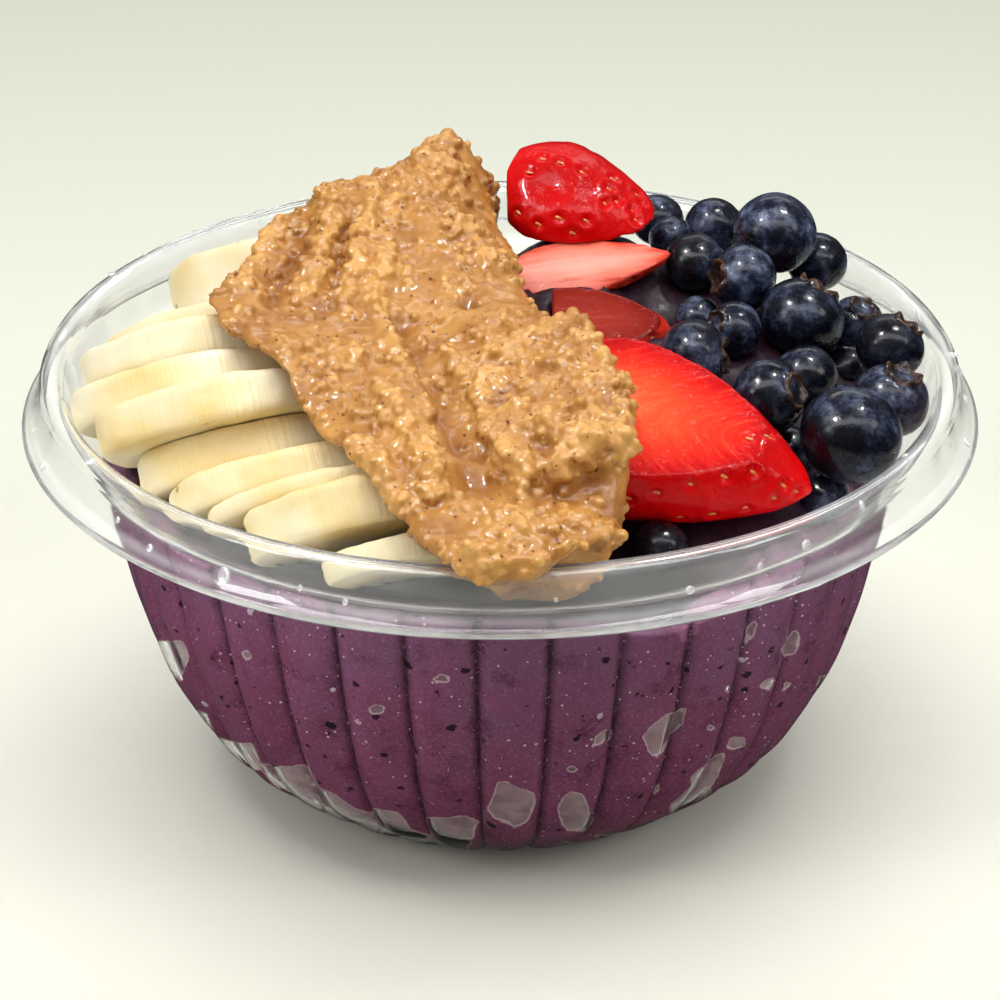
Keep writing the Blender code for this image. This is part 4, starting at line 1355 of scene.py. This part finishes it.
LAMP_TARGET = (0.0, 0.0, 0.05)
LAMPS = (  # name, place, size, power, whether it lends colour, whether it lends gloss
    ("overhead", (0.0, 0.0, 0.9), (0.7, 0.6), 5.3, True, False),
    ("left", (-0.7, -0.4, 0.6), (0.25, 0.25), 1.7, True, True),
    ("right", (0.7, -0.3, 0.6), (0.25, 0.25), 1.4, True, True),
    ("strip", (0.0, -0.35, 0.75), (1.2, 0.2), 5.0, False, True),
    ("glint left", (-0.35, -0.15, 0.8), (0.13, 0.10), 8.0, False, True),
    ("glint right", (0.28, 0.05, 0.8), (0.09, 0.07), 4.0, False, True),
    ("back sheen", (0.1, 0.7, 0.6), (0.7, 0.12), 1.2, False, True),
)
ROOM_LOW = (0.10, 0.10, 0.09, 1.0)  # the room's colour below
ROOM_HIGH = (1.0, 1.0, 0.98, 1.0)  # and from the horizon up
GLOSS_SHARE = 0.4  # of the room's light that shows in reflections


def area_light(name, place, size, power, diffuse, gloss):
    """A soft light that looks at the bowl, and lends colour, gloss or both to what it meets."""
    data = bpy.data.lights.new(name, "AREA")
    data.shape = "RECTANGLE"
    data.size, data.size_y = size
    data.energy = power
    lamp = bpy.data.objects.new(name, data)
    lamp.location = place
    lamp.rotation_euler = (Vector(LAMP_TARGET) - Vector(place)).to_track_quat("-Z", "Y").to_euler()
    lamp.visible_diffuse = diffuse
    lamp.visible_glossy = gloss
    bpy.context.scene.collection.objects.link(lamp)


def build_room(strength):
    """Light from all round, dimmer from below and in reflections."""
    world = bpy.data.worlds.new("studio")
    world.use_nodes = True
    tree = world.node_tree
    back = tree.nodes["Background"]
    dimmer = tree.nodes.new("ShaderNodeMapRange")
    dimmer.inputs["To Min"].default_value = strength
    dimmer.inputs["To Max"].default_value = strength * GLOSS_SHARE
    glossy = tree.nodes.new("ShaderNodeLightPath").outputs["Is Glossy Ray"]
    tree.links.new(glossy, dimmer.inputs["Value"])
    tree.links.new(dimmer.outputs[0], back.inputs["Strength"])
    split = tree.nodes.new("ShaderNodeSeparateXYZ")
    tree.links.new(tree.nodes.new("ShaderNodeTexCoord").outputs["Generated"], split.inputs[0])
    room = tree.nodes.new("ShaderNodeValToRGB")
    stops = zip(room.color_ramp.elements, (0.0, 0.50), (ROOM_LOW, ROOM_HIGH))
    for element, place, colour in stops:
        element.position = place
        element.color = colour
    tree.links.new(split.outputs["Z"], room.inputs["Fac"])
    tree.links.new(room.outputs["Color"], back.inputs["Color"])
    bpy.context.scene.world = world


def build_floor(paint_colour):
    """The pale floor, a little greener and darker far away, a painted falloff of the light."""
    bpy.ops.object.select_all(action="DESELECT")
    bpy.ops.mesh.primitive_plane_add(size=6.0)
    floor = bpy.context.object
    floor.name = floor.data.name = "floor"
    paint = Finish("pale floor", paint_colour, 0.7, Specular_IOR_Level=0.2)
    far = paint.node("ShaderNodeSeparateXYZ", {"Vector": paint.place()}).outputs["Y"]
    # Painted shade: the floor darkens and greens with distance as the light falls off.
    stops = (0.0, paint_colour), (0.45, rgb(209, 210, 197)), (1.0, rgb(178, 183, 166))
    paint.feed(Base_Color=paint.ramp(paint.range(far, -0.2, 0.6), *stops))
    floor.data.materials.append(paint.material)
    floor.visible_glossy = False


def build_camera(place, tilt, lens):
    """The camera at the photograph's angle."""
    data = bpy.data.cameras.new("camera")
    data.sensor_width = SENSOR
    data.lens = lens
    data.clip_start = 0.01
    camera = bpy.data.objects.new("camera", data)
    camera.location = place
    camera.rotation_euler = (math.pi / 2 - tilt, 0.0, 0.0)
    bpy.context.scene.collection.objects.link(camera)
    bpy.context.scene.camera = camera


def carry(piece, slot, *nodes):
    """Sets a finished piece on the frame in place of its nodes."""
    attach(piece, "root")
    if nodes:
        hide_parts(*nodes)


def colour_value(name, description, default):
    """A colour that a user may change."""
    return bpy.props.FloatVectorProperty(
        name=name, description=description, default=default, size=3, min=0.0, max=1.0, subtype="COLOR"
    )


class ACAIBOWL_PG_stage(bpy.types.PropertyGroup):
    """Floor, lights and camera."""

    floor: colour_value("Floor", "Colour of the near floor", rgb(216, 213, 202))
    world: bpy.props.FloatProperty(
        name="Room light", description="Strength of the light from all round", default=0.86, min=0.0
    )
    place: bpy.props.FloatVectorProperty(
        name="Camera place", description="Where the camera stands", default=CAMERA_PLACE, subtype="XYZ",
        unit="LENGTH",
    )
    tilt: bpy.props.FloatProperty(
        name="Camera tilt", description="How far the camera looks down", default=CAMERA_TILT,
        subtype="ANGLE",
    )
    lens: bpy.props.FloatProperty(
        name="Camera lens", description="Focal length in millimetres", default=CAMERA_LENS, min=10.0
    )


class ACAIBOWL_PG_bowl(bpy.types.PropertyGroup):
    """The clear bowl."""

    sheet: bpy.props.FloatProperty(
        name="Sheet", description="Thickness of the formed plastic", default=SHEET, min=0.0003,
        unit="LENGTH",
    )
    tint: colour_value("Tint", "Colour that the plastic lends to light", (0.97, 0.98, 0.98))


class ACAIBOWL_PG_puree(bpy.types.PropertyGroup):
    """The acai puree."""

    colour: colour_value("Puree", "Colour of the puree half way up the wall", rgb(124, 64, 96))


class ACAIBOWL_PG_fruit(bpy.types.PropertyGroup):
    """The fruit on top."""

    flesh: colour_value("Banana", "Colour of the banana's flesh", rgb(252, 234, 186))
    skin: colour_value("Strawberry skin", "Colour of the strawberries' skin", rgb(176, 1, 3))
    bloom: colour_value("Bloom", "Colour of the bloom on the blueberries", rgb(60, 68, 90))


class ACAIBOWL_PG_nut_butter(bpy.types.PropertyGroup):
    """The nut butter."""

    paste: colour_value("Paste", "Colour of the paste between the crumbs", rgb(180, 126, 62))


class ACAIBOWL_PG_values(bpy.types.PropertyGroup):
    """All that a user may change."""

    stage: bpy.props.PointerProperty(type=ACAIBOWL_PG_stage)
    bowl: bpy.props.PointerProperty(type=ACAIBOWL_PG_bowl)
    puree: bpy.props.PointerProperty(type=ACAIBOWL_PG_puree)
    fruit: bpy.props.PointerProperty(type=ACAIBOWL_PG_fruit)
    nut_butter: bpy.props.PointerProperty(type=ACAIBOWL_PG_nut_butter)


class ACAIBOWL_OT_stage(bpy.types.Operator):
    """Add the pale floor, the soft lights and the camera"""

    bl_idname = "acai_bowl.stage"
    bl_label = "Stage"

    def execute(self, context):
        values = context.scene.acai_bowl.stage
        build_floor(tuple(values.floor))
        build_room(values.world)
        for lamp in LAMPS:
            area_light(*lamp)
        build_camera(values.place, values.tilt, values.lens)
        context.scene.view_settings.view_transform = "Standard"
        return {"FINISHED"}


class ACAIBOWL_OT_clear_bowl(bpy.types.Operator):
    """Add the fluted clear bowl"""

    bl_idname = "acai_bowl.clear_bowl"
    bl_label = "Clear Bowl"

    def execute(self, context):
        values = context.scene.acai_bowl.bowl
        bowl = build_bowl(values.sheet, plastic_finish(tuple(values.tint)))
        carry(bowl, "clear_plastic", "bowl")
        carry(build_drops(bowl), "clear_plastic")
        return {"FINISHED"}


class ACAIBOWL_OT_bananas(bpy.types.Operator):
    """Add the fanned banana slices"""

    bl_idname = "acai_bowl.bananas"
    bl_label = "Banana Slices"

    def execute(self, context):
        finish = banana_finish(tuple(context.scene.acai_bowl.fruit.flesh))
        for number, (x, y, z, half_length, half_width, thickness) in enumerate(SLICES, start=1):
            made = build_slice(number, (x, y, z), half_length, half_width, thickness, finish)
            carry(made, "banana", f"banana_slice_{number}")
        return {"FINISHED"}


class ACAIBOWL_OT_strawberries(bpy.types.Operator):
    """Add the cut strawberries and their seeds"""

    bl_idname = "acai_bowl.strawberries"
    bl_label = "Strawberries"

    def execute(self, context):
        skin = tuple(context.scene.acai_bowl.fruit.skin)
        pale_skin = rgb(178, 22, 12), rgb(224, 70, 44)
        pink_skin = rgb(176, 20, 14), rgb(210, 60, 44)
        red = strawberry_finish("strawberry", (skin, rgb(204, 8, 12)), RED_FACE, 0.0012)
        pale = strawberry_finish("strawberry wedge", pale_skin, PALE_FACE, 0.0009)
        pink = strawberry_finish("strawberry slice", pink_skin, PINK_FACE, 0.0004)
        groups = []
        for number, values in enumerate(STRAWBERRIES, start=1):
            made, sites = build_strawberry(number, *values, (red, pale, pink, red)[number - 1])
            carry(made, "strawberry", f"strawberry_{number}")
            groups.append((values[1], sites))
        carry(build_seeds(groups), "strawberry")
        return {"FINISHED"}


class ACAIBOWL_OT_blueberries(bpy.types.Operator):
    """Add the blueberries"""

    bl_idname = "acai_bowl.blueberries"
    bl_label = "Blueberries"

    def execute(self, context):
        finish = berry_finish(tuple(context.scene.acai_bowl.fruit.bloom))
        for number, (x, y, z, radius, crown) in enumerate(BERRIES, start=1):
            made = build_berry(number, (x, y, z), radius, crown, finish)
            carry(made, "blueberry", f"blueberry_{number}")
        return {"FINISHED"}


class ACAIBOWL_OT_puree(bpy.types.Operator):
    """Add the acai puree under the fruit"""

    bl_idname = "acai_bowl.puree"
    bl_label = "Acai Puree"

    def execute(self, context):
        kinds = ("cut_banana", "cut_strawberry", "loose_blueberry")
        toppings = [each for each in context.scene.objects if each.name.startswith(kinds)]
        if not toppings:
            raise RuntimeError("The puree lies under the fruit, so the fruit is added first.")
        finish = acai_finish(tuple(context.scene.acai_bowl.puree.colour))
        carry(build_acai(toppings, finish), "acai_puree", "acai")
        return {"FINISHED"}


class ACAIBOWL_OT_nut_butter(bpy.types.Operator):
    """Add the heap of crunchy nut butter"""

    bl_idname = "acai_bowl.nut_butter"
    bl_label = "Nut Butter"

    def execute(self, context):
        finish = nut_finish(tuple(context.scene.acai_bowl.nut_butter.paste))
        carry(build_heap(finish), "nut_butter", "nut_butter")
        return {"FINISHED"}


class ACAIBOWL_PT_sidebar(bpy.types.Panel):
    """The steps in their order, with what a user may change"""

    bl_idname = "ACAIBOWL_PT_sidebar"
    bl_label = "Acai Bowl"
    bl_space_type = "VIEW_3D"
    bl_region_type = "UI"
    bl_category = "Acai Bowl"

    def draw(self, context):
        values = context.scene.acai_bowl
        steps = (
            (values.stage, ("floor", "world", "place", "tilt", "lens"), "stage"),
            (values.bowl, ("sheet", "tint"), "clear_bowl"),
            (values.fruit, ("flesh",), "bananas"),
            (values.fruit, ("skin",), "strawberries"),
            (values.fruit, ("bloom",), "blueberries"),
            (values.puree, ("colour",), "puree"),
            (values.nut_butter, ("paste",), "nut_butter"),
        )
        for group, names, step in steps:
            box = self.layout.box()
            for name in names:
                box.prop(group, name)
            box.operator(f"acai_bowl.{step}")


CLASSES = (
    ACAIBOWL_PG_stage,
    ACAIBOWL_PG_bowl,
    ACAIBOWL_PG_puree,
    ACAIBOWL_PG_fruit,
    ACAIBOWL_PG_nut_butter,
    ACAIBOWL_PG_values,
    ACAIBOWL_OT_stage,
    ACAIBOWL_OT_clear_bowl,
    ACAIBOWL_OT_bananas,
    ACAIBOWL_OT_strawberries,
    ACAIBOWL_OT_blueberries,
    ACAIBOWL_OT_puree,
    ACAIBOWL_OT_nut_butter,
    ACAIBOWL_PT_sidebar,
)


def register():
    """Makes the operators, the panel and the values known."""
    for each in CLASSES:
        bpy.utils.register_class(each)
    bpy.types.Scene.acai_bowl = bpy.props.PointerProperty(type=ACAIBOWL_PG_values)


def unregister():
    """Takes them away again."""
    del bpy.types.Scene.acai_bowl
    for each in reversed(CLASSES):
        bpy.utils.unregister_class(each)


def main():
    """Adds the stage, then each piece in its order."""
    register()
    bpy.ops.acai_bowl.stage()
    bpy.ops.acai_bowl.clear_bowl()
    bpy.ops.acai_bowl.bananas()
    bpy.ops.acai_bowl.strawberries()
    bpy.ops.acai_bowl.blueberries()
    bpy.ops.acai_bowl.puree()
    bpy.ops.acai_bowl.nut_butter()


if __name__ == "__main__":
    main()
